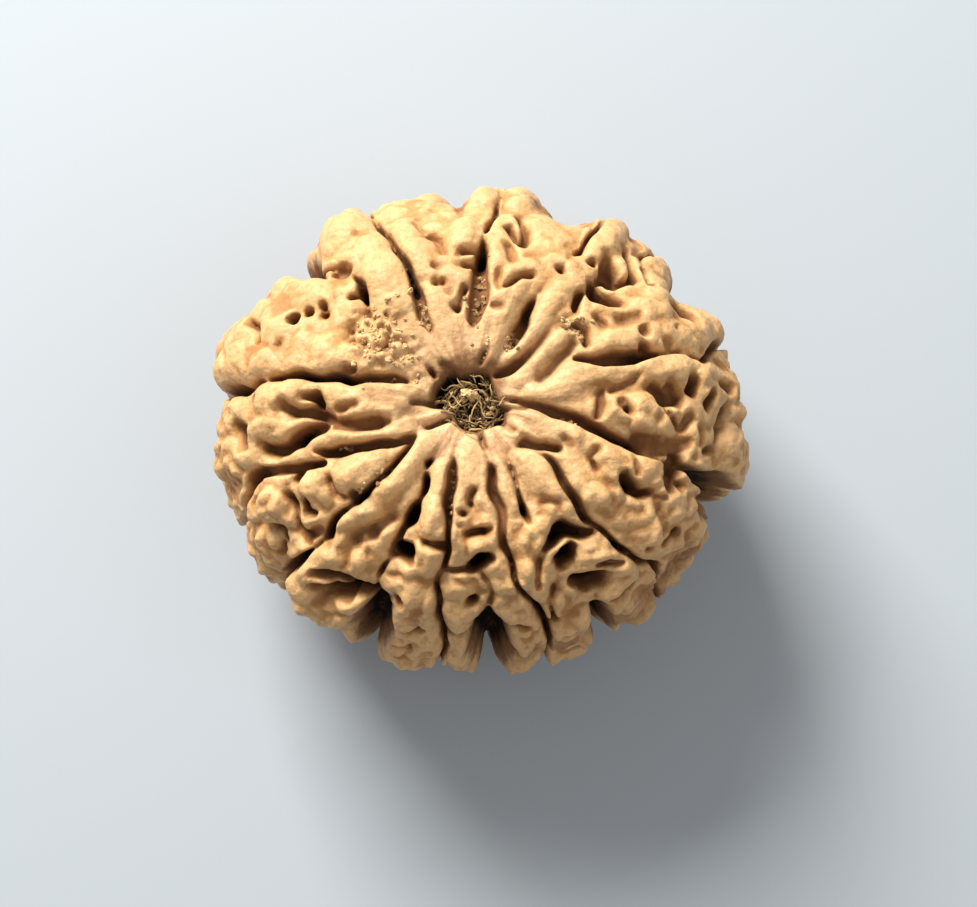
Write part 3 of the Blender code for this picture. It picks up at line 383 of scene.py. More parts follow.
# Raised ridges and knobs: (radius, height, points)
RIDGES = [
    # spokes that draw in to the mouth
    (0.9, 0.3, [(78, 9), (76, 14), (74, 22), (72, 30)]),
    (0.8, 0.25, [(98, 8), (99, 14), (101, 20)]),
    (0.8, 0.25, [(108, 8), (109, 15), (111, 23)]),
    (0.6, 0.3, [(30, 9), (34, 14), (38, 19)]),
    (0.8, 0.35, [(8, 10), (12, 15), (16, 22), (14, 30)]),
    (0.8, 0.3, [(345, 8), (341, 13), (338, 18)]),
    (0.6, 0.3, [(326, 8), (322, 12), (315, 17)]),
    (0.7, 0.35, [(308, 14), (306, 20), (306, 27), (307, 32)]),
    (0.5, 0.35, [(290, 12), (288, 18), (288, 23)]),
    (0.6, 0.35, [(270, 8), (274, 15), (277, 22), (279, 28)]),
    (0.5, 0.3, [(265, 10), (263, 18), (263, 27), (263.5, 35)]),
    (0.7, 0.45, [(250, 14), (252, 20), (251, 26), (254, 30)]),
    (0.6, 0.45, [(226, 10), (229, 18), (229, 28), (227, 38), (226, 50)]),
    (0.7, 0.35, [(206, 12), (200, 20), (196, 28), (197, 33)]),
    (0.8, 0.35, [(187, 14), (188, 20)]),
    (0.8, 0.3, [(174, 10), (176, 18), (177, 26)]),
    (0.8, 0.3, [(153, 14), (157, 20), (162, 28)]),
    (0.5, 0.2, [(52, 10), (53, 16), (54, 22), (55, 30)]),
    # long backs of lobes
    (1.3, 0.45, [(123, 28), (124, 36), (124, 44), (123, 52)]),
    (1.4, 0.45, [(158, 36), (157, 46), (155, 56), (153, 66)]),
    (1.2, 0.4, [(143, 44), (143, 52), (144, 60)]),
    (1.2, 0.4, [(164, 36), (165, 46), (167, 58)]),
    (0.9, 0.4, [(176, 40), (178, 50), (180, 62)]),
    (0.9, 0.35, [(188, 42), (186, 50)]),
    (1.0, 0.4, [(33, 44), (34, 50), (32, 48)]),
    (0.9, 0.4, [(23, 30), (24, 36), (22, 52), (22, 62)]),
    (0.9, 0.4, [(12, 36), (11, 44), (9, 54), (8, 62)]),
    (0.8, 0.4, [(352, 34), (351, 38), (356, 42)]),
    (0.8, 0.35, [(356, 24), (358, 34), (357, 37)]),
    (1.1, 0.4, [(322, 42), (322, 50), (320, 56)]),
    (0.9, 0.35, [(334, 30), (336, 40), (333, 50)]),
    (0.9, 0.4, [(254, 36), (254, 44), (252, 56), (252, 62)]),
    (0.8, 0.35, [(264, 42), (265, 50), (266, 58)]),
    (0.9, 0.35, [(278, 38), (277, 46), (278, 54)]),
    (0.9, 0.35, [(110, 32), (110, 42), (110, 50)]),
    (0.8, 0.35, [(95, 38), (94, 46)]),
    # winding ridges of the south lobes
    (0.5, 0.35, [(270, 32), (273, 30.6), (277, 31.5), (279, 35)]),
    (0.6, 0.45, [(294.5, 29.5), (289, 33), (285.5, 37), (284.5, 42), (286, 48)]),
    (0.55, 0.45, [(297, 36.8), (292.5, 40), (290, 44), (288, 47)]),
    (0.7, 0.4, [(303, 43), (307, 48), (311, 56)]),
    (0.6, 0.4, [(303, 57.5), (307, 57.5), (311, 59)]),
    (0.6, 0.35, [(289.5, 54), (287.5, 57)]),
    (0.6, 0.35, [(250, 42), (252, 47), (250, 53)]),
    (0.5, 0.3, [(257, 45), (256, 52), (258, 60)]),
    (0.5, 0.3, [(264, 53), (268, 56), (270, 53)]),
    (0.6, 0.35, [(277, 48), (280, 53), (282, 60)]),
    (0.5, 0.3, [(276, 40), (280, 43)]),
    (0.6, 0.3, [(318, 30), (322, 34), (321, 40)]),
    (0.6, 0.35, [(325, 50), (330, 53)]),
    (0.5, 0.3, [(318, 60), (324, 62)]),
    (0.5, 0.3, [(233, 40), (235, 46), (238, 49)]),
    (0.4, 0.25, [(229, 43), (231, 49)]),
    # knobs that stand out of the outline
    (1.8, 0.9, [(123, 62), (121, 72), (121, 82)]),
    (1.2, 0.36, [(111, 64), (110, 76)]),
    (0.8, 0.2, [(103, 60), (102, 72)]),
    (1.1, 0.5, [(88, 62), (87, 76)]),
    (1.0, 0.5, [(81, 62), (80, 74)]),
    (1.1, 0.5, [(57, 50), (58, 60), (58, 76)]),
    (1.4, 0.35, [(25, 66), (24, 74), (22, 84)]),
    (1.4, 0.45, [(8, 58), (6, 66), (6, 76)]),
    (1.5, 0.54, [(352, 70), (350, 80), (350, 90)]),
    (1.1, 0.2, [(330, 62), (331, 74)]),
    (1.0, 0.3, [(305, 70), (307, 80)]),
    (1.2, 0.3, [(292, 68), (292, 82)]),
    (1.1, 0.35, [(279, 66), (279, 76), (279, 86)]),
    (0.9, 0.3, [(265, 70), (265, 80)]),
    (1.2, 0.36, [(253, 72), (253, 86)]),
    (1.2, 1.1, [(227, 60), (226.5, 65), (229, 69.5), (234, 70.5), (238.5, 67), (240, 61)]),
    (1.2, 0.3, [(213, 70), (213, 84)]),
    (1.2, 0.36, [(190, 68), (190, 80)]),
    (2.4, 0.95, [(163, 70), (161, 84)]),
    (0.5, 0.6, [(228, 58.5), (231, 58)]),
    # bulbs of the south-west lobes
    (1.25, 0.6, [(216, 24), (215, 28)]),
    (1.0, 0.55, [(210.5, 39), (213, 40)]),
    (0.75, 0.6, [(219.5, 43.5), (219.8, 45)]),
    (1.0, 0.6, [(220, 56), (221, 58)]),
    (0.95, 0.55, [(208, 54), (208.5, 56)]),
    (0.75, 0.5, [(214, 64.5)]),
    (1.3, 0.45, [(227, 50), (225.5, 56)]),
]

# Net of lumps that fills the lobes, low on top and bold on the flanks and underneath.
# Each pair is the two colatitudes between which that change runs.
LUMP_SEED = 41
LUMP_COUNT = 170
LUMP_TURN = 137.508
LUMP_SCATTER = (14.0, 4.0)
LUMP_HEIGHT_TOP = 0.2
LUMP_SHOULDER = 2.0
CORNER_PIT = 0.9
CORNER_PIT_REACH = 1.2
BOLD_FROM = (64.0, 100.0)
CALM_AT_TOP = (14.0, 30.0)
CALM_AT_BOTTOM = (162.0, 176.0)

# Strands and crumbs, in millimetres; heights are over the bottom of the stone
FIBRE_SEED = 17
FIBRE_MIDDLE = (0.05, -0.30)
FIBRE_FLOOR = 15.8
FIBRE_HEIGHT = 1.4
FIBRE_LENGTH = (0.3, 1.2)
FIBRE_HOLE = 0.04
FIBRE_BOWL = 0.45
FIBRE_TURN = (math.pi * 0.6, 0.8)
FIBRE_RISE = (-0.35, 0.45)
FIBRE_BEND = 0.22
FIBRE_THICKNESS = (0.6, 1.25)
FIBRE_SHADE_POWER = 1.3
# share of the tone kept by the lowest strands: painted shade down the mouth
FIBRE_LOW_SHADE = 0.35
STRAND_CUTS = 5
STRAND_TAPER = 0.55
STRAND_KINKS = (0.35, 0.10, 91)
STRAND_SIDE = np.array([0.31, 0.22, 0.92])
CRUMB_SEED = 23
LUMP_DENT = 0.24
DEEPEST_DENT = 1.6
CRUMB_SINK = 0.1
CRUMB_SHADE_SPREAD = 0.22
DROP_FROM = 3
# Each: (across, back, height, half size, shade)
MOUTH_CRUMBS = [
    (-0.45, 0.42, 16.70, 0.20, 0.8), (-0.22, 0.52, 16.85, 0.26, 1.0), (0.02, 0.46, 16.90, 0.28, 1.0),
    (0.25, 0.44, 16.85, 0.25, 0.95), (0.42, 0.30, 16.75, 0.16, 0.8), (0.10, 0.28, 16.75, 0.18, 0.9),
    (-0.30, 0.25, 16.65, 0.16, 0.8), (-0.65, 0.20, 16.6, 0.14, 0.6), (0.85, 0.25, 16.7, 0.13, 0.6),
    (1.15, -0.25, 16.85, 0.14, 0.7), (0.95, -0.55, 16.8, 0.12, 0.5), (-1.0, -0.35, 16.6, 0.13, 0.4),
    (-0.4, -0.95, 16.6, 0.13, 0.5), (0.15, -1.1, 16.7, 0.12, 0.6), (0.6, 0.65, 16.6, 0.12, 0.5),
    (-0.9, 0.6, 16.5, 0.12, 0.4), (0.5, -0.8, 16.65, 0.1, 0.7), (-0.15, 1.05, 16.4, 0.14, 0.3),
]
# Each: (count, half size, scatter, shade, points)
CLEFT_CRUMBS = [
    (16, 0.17, 0.16, 0.5, [(117, 18), (116, 22), (115, 26)]),
    (24, 0.15, 0.20, 0.45, [(90, 16), (88.5, 24), (88, 32)]),
    (22, 0.13, 0.16, 0.45, [(59, 12), (61, 18)]),
    (26, 0.15, 0.22, 0.5, [(33, 25), (39, 26), (45, 24)]),
    (6, 0.12, 0.15, 0.4, [(348, 17), (345.5, 23)]),
    (16, 0.12, 0.12, 0.4, [(256, 14), (258.5, 26)]),
    (8, 0.15, 0.12, 0.5, [(168.5, 22), (168, 25)]),
    (6, 0.14, 0.12, 0.5, [(203, 29), (201, 33)]),
    (12, 0.12, 0.15, 0.4, [(221.5, 19), (222.5, 30)]),
    (90, 0.13, 0.6, 0.7, [(150, 12), (148, 17), (150, 22), (138, 25), (134, 20)]),
    (8, 0.10, 0.25, 0.6, [(78, 8), (79, 12)]),
]

# Irregularity: (wavelength, size, seed) in millimetres
BEND_NET = (3.0, 1.3, 5)
BEND_STROKES = (1.6, 0.22, 11)
SWELLS = (2.1, 0.22, 21)
WRINKLES = (1.25, 0.25, 31)
KNOBS = (0.8, 0.14, 51)
GRAIN_RELIEF = (0.45, 0.05, 41)
CRUMBLY_GRAIN = (0.40, 0.24, 61)
CRUMBLY_SPOTS = [(146, 14, 1.6), (150, 21, 1.8), (140, 24, 1.8)]
CRUMBLY_CORE = 0.6
FOLD_LEVEL = 0.3
STREAK_RELIEF = 0.14
STREAKS_ROUND = 95.0
STREAK_SLOWNESS = 0.06
STREAK_REACH = (9.0, 30.0)
STREAK_SEED = 7
# The south side is rougher than the north: y in millimetres, then the shares there.
ROUGH_FROM = (5.0, -4.0)
ROUGH_SHARE = (0.75, 1.85)
# Smooth places on the flanks: (bearing, colatitude, radius)
CALM_SPOTS = [
    (160, 66, 5.5), (147, 56, 4.5), (190, 66, 4.5), (122, 66, 3.5), (326, 64, 4.0), (203, 72, 4.0),
]
CALM_SHARE = 0.75
CALM_CORE = 0.5
NOISE_TABLE = 512
NOISE_GAIN = 1.6


def plain_body(bearing, colatitude):
    """Points on the body without relief, for arrays of degrees."""
    turn = np.radians(bearing)
    tilt = np.radians(colatitude)
    across = np.sin(tilt).clip(0.0) ** (2 / BOXINESS)
    up = np.sign(np.cos(tilt)) * np.abs(np.cos(tilt)) ** (2 / BOXINESS)
    top = TOP_FUNNEL * np.exp(-(colatitude / TOP_FUNNEL_REACH) ** 2)
    bottom = BOTTOM_FUNNEL * np.exp(-((180 - colatitude) / BOTTOM_FUNNEL_REACH) ** 2)
    return np.stack([
        LEAN[0] * across + HALF_LENGTH * across * np.cos(turn),
        LEAN[1] * across + HALF_WIDTH * across * np.sin(turn),
        HALF_HEIGHT * (1 + up) - FLAT_TRIM - top + bottom,
    ], axis=-1)


def body_normals(places):
    """Outward directions of the body without relief, about at right angles to it."""
    flat = (places[:, :2] - np.array(LEAN)) / (HALF_LENGTH, HALF_WIDTH)
    across = np.linalg.norm(flat, axis=1).clip(1e-6)
    up = (places[:, 2] - HALF_HEIGHT) / HALF_HEIGHT
    bend = BOXINESS - 1
    slope = (across ** bend / across)[:, None] * flat / (HALF_LENGTH, HALF_WIDTH)
    lift = np.sign(up) * np.abs(up) ** bend / HALF_HEIGHT
    outward = np.concatenate([slope, lift[:, None]], axis=1)
    return outward / np.linalg.norm(outward, axis=1)[:, None]


def carve_directions(places, colatitude):
    """Along the body's normals, but more upright on top, where the light and the eye look in."""
    outward = body_normals(places)
    outward[:, 2] += UPRIGHT * (1 - ramp(colatitude, UPRIGHT_FADE))
    return outward / np.linalg.norm(outward, axis=1)[:, None]


def shoulder(distance):
    """1 in a crease, falling along a quarter circle to 0 one unit away."""
    away = 1 - distance.clip(0.0, 1.0)
    return 1 - np.sqrt(1 - away ** 2)


def ramp(value, ends):
    """0 at the first end, 1 at the second, straight between."""
    return ((value - ends[0]) / (ends[1] - ends[0])).clip(0.0, 1.0)


def near_spot(places, bearing, colatitude, radius, core):
    """1 inside the core share of a round spot on the body, falling to 0 at its radius."""
    spot = plain_body(np.array([bearing]), np.array([colatitude]))
    return 1 - ramp(np.linalg.norm(places - spot, axis=1), (radius * core, radius))


def soft_noise(points, wavelength, seed):
    """Smooth noise from about -1 to 1 over an array of points."""
    draw = np.random.default_rng(seed)
    slopes = draw.normal(size=(NOISE_TABLE, 3))
    slopes /= np.linalg.norm(slopes, axis=1)[:, None]
    order = draw.permutation(NOISE_TABLE)
    scaled = points / wavelength
    cell = np.floor(scaled).astype(int)
    part = scaled - cell
    fade = part ** 3 * (part * (part * 6 - 15) + 10)
    total = np.zeros(len(points))
    for corner in itertools.product((0, 1), repeat=3):
        key = cell + np.array(corner)
        index = order[key[:, 0] % NOISE_TABLE]
        index = order[(index + key[:, 1]) % NOISE_TABLE]
        index = order[(index + key[:, 2]) % NOISE_TABLE]
        weight = np.where(np.array(corner) == 1, fade, 1 - fade).prod(axis=1)
        total += weight * (slopes[index] * (part - np.array(corner))).sum(axis=1)
    return total * NOISE_GAIN


def soft_shift(points, wavelength, size, seed):
    """A smooth irregular shift for each point."""
    return np.stack([soft_noise(points, wavelength, seed + axis) for axis in range(3)], axis=-1) * size


def dense_path(points):
    """A stroke's rows, spread a little from the pole, with rows added so that it follows the body."""
    rows = np.array(points, dtype=float)
    rows[:, 1] *= 1 + SPREAD * (1 - ramp(rows[:, 1], SPREAD_FADE))
    out = [rows[:1]]
    for start, end in zip(rows[:-1], rows[1:]):
        ends = plain_body(np.array([start[0], end[0]]), np.array([start[1], end[1]]))
        count = max(1, math.ceil(np.linalg.norm(ends[1] - ends[0]) / PATH_STEP))
        share = np.arange(1, count + 1)[:, None] / count
        out.append(start + (end - start) * share)
    return np.concatenate(out)


class Relief:
    """Adds up strokes over the points of the plain body."""

    def __init__(self, places):
        self.places = places
        self.raised = np.zeros(len(places))
        self.cut = np.zeros(len(places))

    def stroke(self, rows, reach, shape, target):
        """Puts shape(distance, row values) of one stroke into target by maximum."""
        rows = dense_path(rows)
        line = plain_body(rows[:, 0], rows[:, 1])
        middle = (line.min(axis=0) + line.max(axis=0)) / 2
        radius = np.linalg.norm(line - middle, axis=1).max() + reach
        near = np.nonzero(((self.places - middle) ** 2).sum(axis=1) < radius ** 2)[0]
        here = self.places[near]
        starts = line if len(line) == 1 else line[:-1]
        ends = line if len(line) == 1 else line[1:]
        for index, (start, end) in enumerate(zip(starts, ends)):
            along = end - start
            length = max((along * along).sum(), 1e-9)
            span = math.sqrt(length) / 2 + reach
            close = np.nonzero(((here - (start + end) / 2) ** 2).sum(axis=1) < span ** 2)[0]
            spot = here[close]
            share = (((spot - start) * along).sum(axis=1) / length).clip(0.0, 1.0)
            distance = np.linalg.norm(spot - start - share[:, None] * along, axis=1)
            last = min(index + 1, len(rows) - 1)
            values = rows[index, 2:] + share[:, None] * (rows[last, 2:] - rows[index, 2:])
            picked = near[close]
            target[picked] = np.maximum(target[picked], shape(distance, values))

    def cleft(self, rows, settings):
        """A narrow slit along the middle of a shallow valley."""
        valley = np.zeros(len(self.places))
        slit = np.zeros(len(self.places))

        def valley_shape(distance, values):
            gain = (values[:, 1] / CLEFT_FULL_DEPTH).clip(0.0, 1.0)
            return settings.valley_depth / MM * gain * shoulder(distance / CLEFT_VALLEY_REACH)

        def slit_shape(distance, values):
            half = values[:, 0] * settings.cleft_width
            return CLEFT_DEEPEN * values[:, 1] * shoulder((distance - half) / CLEFT_WALL)

        self.stroke(rows, CLEFT_VALLEY_REACH, valley_shape, valley)
        self.stroke(rows, CLEFT_VALLEY_REACH, slit_shape, slit)
        self.cut = np.maximum(self.cut, valley + slit)

    def hollow(self, wall, rows):
        """A cut with a flat floor and round walls, whose width and depth change along it."""

        def shape(distance, values):
            return values[:, 1] * shoulder((distance - values[:, 0]) / wall)

        self.stroke(rows, max(row[2] for row in rows) + wall, shape, self.cut)

    def groove(self, half_width, depth, wall, points):
        """A hollow of one width and depth; one point makes a pit."""
        self.hollow(wall, [(around, down, half_width, depth) for around, down in points])

    def ridge(self, radius, height, points):
        """A round back that stands on the body; one point makes a knob."""
        rows = [(bearing, colatitude, radius, height) for bearing, colatitude in points]

        def shape(distance, values):
            return values[:, 1] * (1 - (distance / values[:, 0]).clip(0.0, 1.0) ** 2) ** RIDGE_BACK

        self.stroke(rows, radius, shape, self.raised)


def lump_net(places, colatitude, height_under):
    """Puffy lumps with creases between them and pits where three lumps meet."""
    draw = random.Random(LUMP_SEED)
    centres = []
    for index in range(LUMP_COUNT):
        height = 1 - 2 * (index + 0.5) / LUMP_COUNT
        turn = index * LUMP_TURN + draw.uniform(-LUMP_SCATTER[0], LUMP_SCATTER[0])
        tilt = math.degrees(math.acos(height)) + draw.uniform(-LUMP_SCATTER[1], LUMP_SCATTER[1])
        centres.append((turn, min(max(tilt, 0.0), 180.0)))
    centres = np.array(centres)
    moved = places + soft_shift(places, *BEND_NET)
    first = np.full(len(places), np.inf)
    second = first.copy()
    third = first.copy()
    for seed in plain_body(centres[:, 0], centres[:, 1]):
        gap = np.linalg.norm(moved - seed, axis=1)
        third = np.minimum(third, np.maximum(second, gap))
        second = np.minimum(second, np.maximum(first, gap))
        first = np.minimum(first, gap)
    lift = 1 - shoulder((second - first) / LUMP_SHOULDER)
    lift -= CORNER_PIT * shoulder((third - first) / CORNER_PIT_REACH)
    size = LUMP_HEIGHT_TOP + (height_under - LUMP_HEIGHT_TOP) * ramp(colatitude, BOLD_FROM)
    lively = ramp(colatitude, CALM_AT_TOP) * (1 - ramp(colatitude, CALM_AT_BOTTOM))
    return (lift - 0.5) * size * lively


def carved_places(unit, settings):
    """Where each vertex of a unit ball goes on the carved stone."""
    bearing = np.degrees(np.arctan2(unit[:, 1], unit[:, 0])) % 360
    colatitude = np.degrees(np.arccos(unit[:, 2].clip(-1.0, 1.0)))
    places = plain_body(bearing, colatitude)
    relief = Relief(places + soft_shift(places, *BEND_STROKES))
    for radius, height, points in RIDGES:
        relief.ridge(radius, height, points)
    for rows in CLEFTS:
        relief.cleft(rows, settings)
    for wall, rows in HOLLOWS:
        relief.hollow(wall, rows)
    for half_width, depth, wall, points in GROOVES:
        relief.groove(half_width, depth, wall, points)
    for around, down, radius, depth in PITS:
        relief.groove(radius, depth, PIT_WALL, [(around, down)])
    lively = ramp(colatitude, CALM_AT_TOP)
    lively *= ROUGH_SHARE[0] + (ROUGH_SHARE[1] - ROUGH_SHARE[0]) * ramp(places[:, 1], ROUGH_FROM)
    calm = np.ones(len(places))
    for spot in CALM_SPOTS:
        calm = np.minimum(calm, 1 - CALM_SHARE * near_spot(places, *spot, CALM_CORE))
    rise = relief.raised + calm * lump_net(places, colatitude, settings.lump_height / MM) - relief.cut
    rise += SWELLS[1] * lively * soft_noise(places, SWELLS[0], SWELLS[2])
    for wavelength, size, seed in (WRINKLES, KNOBS):
        rise += size * lively * (np.abs(soft_noise(places, wavelength, seed)) - FOLD_LEVEL)
    wavelength, size, seed = CRUMBLY_GRAIN
    for spot in CRUMBLY_SPOTS:
        rise += size * near_spot(places, *spot, CRUMBLY_CORE) * soft_noise(places, wavelength, seed)
    wavelength, size, seed = GRAIN_RELIEF
    rise += size * soft_noise(places, wavelength, seed)
    fan = [bearing * STREAKS_ROUND / 360, colatitude * STREAK_SLOWNESS, 0 * bearing]
    streak = (1 - ramp(colatitude, STREAK_REACH)) * soft_noise(np.stack(fan, axis=-1), 1.0, STREAK_SEED)
    rise += STREAK_RELIEF * streak
    from_axis = np.linalg.norm(relief.places[:, :2], axis=1)
    on_top = colatitude < 90
    wander = MOUTH_WANDER[1] * soft_noise(places, MOUTH_WANDER[0], MOUTH_WANDER[2])
    mouth = shoulder((from_axis + wander - settings.mouth_radius / MM) / MOUTH_WALL)
    halo = np.linalg.norm(relief.places[:, :2] - np.array(HALO_MIDDLE), axis=1)
    halo = HALO_DARK * on_top * (1 - ramp(halo, HALO_REACH))
    rise -= on_top * settings.mouth_depth / MM * mouth
    rise -= ~on_top * PORE_DEPTH * shoulder((from_axis - PORE_RADIUS) / MOUTH_WALL)
    # mask for the darker colours: the carved depth, painted shade down the mouth, and a darker patch
    # over the mouth's north rim
    dark = relief.cut + MOUTH_DARK * on_top * mouth + halo
    return places + carve_directions(places, colatitude) * rise[:, None], dark, streak


def deselect_all():
    """Leaves nothing selected and no object active."""
    bpy.ops.object.select_all(action="DESELECT")
    bpy.context.view_layer.objects.active = None


def read_rows(items, name, width, kind=float):
    """One property of all of a mesh's vertices, edges or faces, as an array of rows."""
    flat = np.empty(len(items) * width, dtype=kind)
    items.foreach_get(name, flat)
    return flat.reshape(-1, width)


def read_places(mesh):
    """A mesh's vertex places as an array."""
    return read_rows(mesh.vertices, "co", 3)


def write_places(mesh, places):
    """Moves a mesh's vertices to an array of places."""
    mesh.vertices.foreach_set("co", places.ravel())
    mesh.update()


def read_normals(mesh):
    """A mesh's vertex normals as an array."""
    return read_rows(mesh.vertex_normals, "vector", 3)


def clear_selection(kind):
    """Leaves nothing of the active mesh selected, in this select mode."""
    bpy.ops.object.mode_set(mode="EDIT")
    bpy.ops.mesh.select_mode(type=kind)
    bpy.ops.mesh.select_all(action="DESELECT")
    bpy.ops.object.mode_set(mode="OBJECT")


def add_ball():
    """A unit ball of even triangles, twice as fine on its upper half."""
    bpy.ops.mesh.primitive_ico_sphere_add(subdivisions=BALL_STEPS, radius=1.0)
    ball = bpy.context.object
    clear_selection("FACE")
    middles = read_rows(ball.data.polygons, "center", 3)
    ball.data.polygons.foreach_set("select", middles[:, 2] > FINE_ABOVE)
    bpy.ops.object.mode_set(mode="EDIT")
    bpy.ops.mesh.subdivide(number_cuts=1)
    bpy.ops.object.mode_set(mode="OBJECT")
    return ball


def finish_with(item, kind, **values):
    """Adds one modifier with these values and applies it."""
    step = item.modifiers.new(kind.lower(), kind)
    for name, value in values.items():
        setattr(step, name, value)
    bpy.ops.object.modifier_apply(modifier=step.name)


def thin_out(mesh, below, wanted):
    """Thins the faces over or under a level to about the wanted number of triangles."""
    middles = read_rows(mesh.polygons, "center", 3)
    picked = (middles[:, 2] < UNDERSIDE_BELOW) == below
    sizes = read_rows(mesh.polygons, "loop_total", 1, int)[:, 0]
    mesh.polygons.foreach_set("select", picked)
    bpy.ops.object.mode_set(mode="EDIT")
    bpy.ops.mesh.decimate(ratio=wanted / (sizes[picked] - 2).sum())
    bpy.ops.object.mode_set(mode="OBJECT")


def hollow_share(mesh):
    """For each vertex, the share of the sky over it that nearby walls shut out."""
    mesh.calc_loop_triangles()
    places = read_places(mesh)
    normals = read_normals(mesh)
    corners = read_rows(mesh.loop_triangles, "vertices", 3, int)
    tree = BVHTree.FromPolygons(places.tolist(), corners.tolist())
    draw = np.random.default_rng(RAY_SEED)
    blocked = np.zeros(len(places))
    for index in range(RAY_COUNT):
        height = math.sqrt((index + 0.5) / RAY_COUNT)
        turn = index * math.radians(LUMP_TURN)
        side = np.cross(normals, draw.normal(size=normals.shape))
        side /= np.linalg.norm(side, axis=1)[:, None]
        other = np.cross(normals, side)
        flat = math.sqrt(1 - height ** 2)
        rays = normals * height + flat * (side * math.cos(turn) + other * math.sin(turn))
        starts = (places + normals * RAY_LIFT).tolist()
        for spot, (start, ray) in enumerate(zip(starts, rays.tolist())):
            blocked[spot] += tree.ray_cast(start, ray, RAY_REACH)[0] is not None
    return blocked / RAY_COUNT


def crown_share(mesh, rounds):
    """How far each vertex stands over the mean of its surroundings, in mesh units."""
    places = read_places(mesh)
    normals = read_normals(mesh)
    edges = read_rows(mesh.edges, "vertices", 2, int)
    starts, ends = edges.T
    count = np.bincount(edges.ravel(), minlength=len(places))[:, None]
    mean = places
    for _ in range(rounds):
        total = np.zeros_like(mean)
        for axis in range(3):
            total[:, axis] = np.bincount(starts, mean[ends, axis], len(places))
            total[:, axis] += np.bincount(ends, mean[starts, axis], len(places))
        mean = (mean + total / count) / 2
    return ((places - mean) * normals).sum(axis=1)


def nearest_rows(known, wanted):
    """For each wanted place, the number of the known place nearest to it."""
    tree = KDTree(len(known))
    for index, place in enumerate(known.tolist()):
        tree.insert(place, index)
    tree.balance()
    return np.array([tree.find(place)[1] for place in wanted.tolist()])


def write_attribute(mesh, name, values):
    """Stores one number for each vertex."""
    attribute = mesh.attributes.new(name, "FLOAT", "POINT")
    attribute.data.foreach_set("value", values.astype(np.float32))


class NodeSheet:
    """Short calls that add nodes to one tree and link them."""

    def __init__(self, tree):
        self.tree = tree

    def feed(self, socket, value):
        """Links a socket's value in, or sets a plain one."""
        if isinstance(value, bpy.types.NodeSocket):
            self.tree.links.new(value, socket)
        else:
            socket.default_value = value

    def fill(self, node, inputs):
        """Feeds several of a node's inputs."""
        for name, value in inputs.items():
            self.feed(node.inputs[name], value)

    def add(self, kind, inputs=None, **values):
        """A new node with these properties and inputs."""
        node = self.tree.nodes.new(kind)
        for name, value in values.items():
            setattr(node, name, value)
        self.fill(node, inputs or {})
        return node

    def attribute(self, name):
        return self.add("ShaderNodeAttribute", attribute_name=name).outputs["Fac"]

    def noise(self, place, wavelength, detail=2.0, roughness=0.5):
        node = self.add("ShaderNodeTexNoise", {
            "Vector": place, "Scale": 1 / wavelength, "Detail": detail, "Roughness": roughness})
        return node.outputs["Fac"]

    def spread(self, value, low, high, to_low=0.0, to_high=1.0):
        node = self.add("ShaderNodeMapRange", {
            "Value": value, "From Min": low, "From Max": high, "To Min": to_low, "To Max": to_high})
        return node.outputs["Result"]

    def mix(self, share, first, second):
        node = self.add("ShaderNodeMix", {0: share, 6: first, 7: second}, data_type="RGBA")
        return node.outputs[2]

    def math(self, operation, first, second):
        return self.add("ShaderNodeMath", {0: first, 1: second}, operation=operation).outputs[0]


def grain_group():
    """Shared pattern of the dry surface: patches, specks and a height for the bump."""
    group = bpy.data.node_groups.get("dry_grain")
    if group:
        return group
    group = bpy.data.node_groups.new("dry_grain", "ShaderNodeTree")
    group.interface.new_socket(name="Place", in_out="INPUT", socket_type="NodeSocketVector")
    for name in ("Broad", "Patch", "Speck", "Height"):
        group.interface.new_socket(name=name, in_out="OUTPUT", socket_type="NodeSocketFloat")
    sheet = NodeSheet(group)
    place = sheet.add("NodeGroupInput").outputs["Place"]
    rough = sheet.noise(place, 0.55 * MM, 5.0, 0.62)
    cells = sheet.add("ShaderNodeTexVoronoi", {"Vector": place, "Scale": 1 / (0.34 * MM)})
    height = sheet.math("ADD", rough, sheet.math("MULTIPLY", cells.outputs["Distance"], -0.3))
    sheet.add("NodeGroupOutput", {
        "Broad": sheet.noise(place, 4.0 * MM, 3.0),
        "Patch": sheet.noise(place, 1.2 * MM, 4.0, 0.6),
        "Speck": sheet.noise(place, 0.26 * MM, 3.0, 0.6),
        "Height": height})
    return group


def grained_material(name):
    """A new material with the shared pattern in it: material, sheet, shader, pattern's outputs."""
    material = bpy.data.materials.new(name)
    material.use_nodes = True
    sheet = NodeSheet(material.node_tree)
    place = sheet.add("ShaderNodeTexCoord").outputs["Object"]
    grain = sheet.add("ShaderNodeGroup", {"Place": place}, node_tree=grain_group())
    return material, sheet, material.node_tree.nodes["Principled BSDF"], grain.outputs


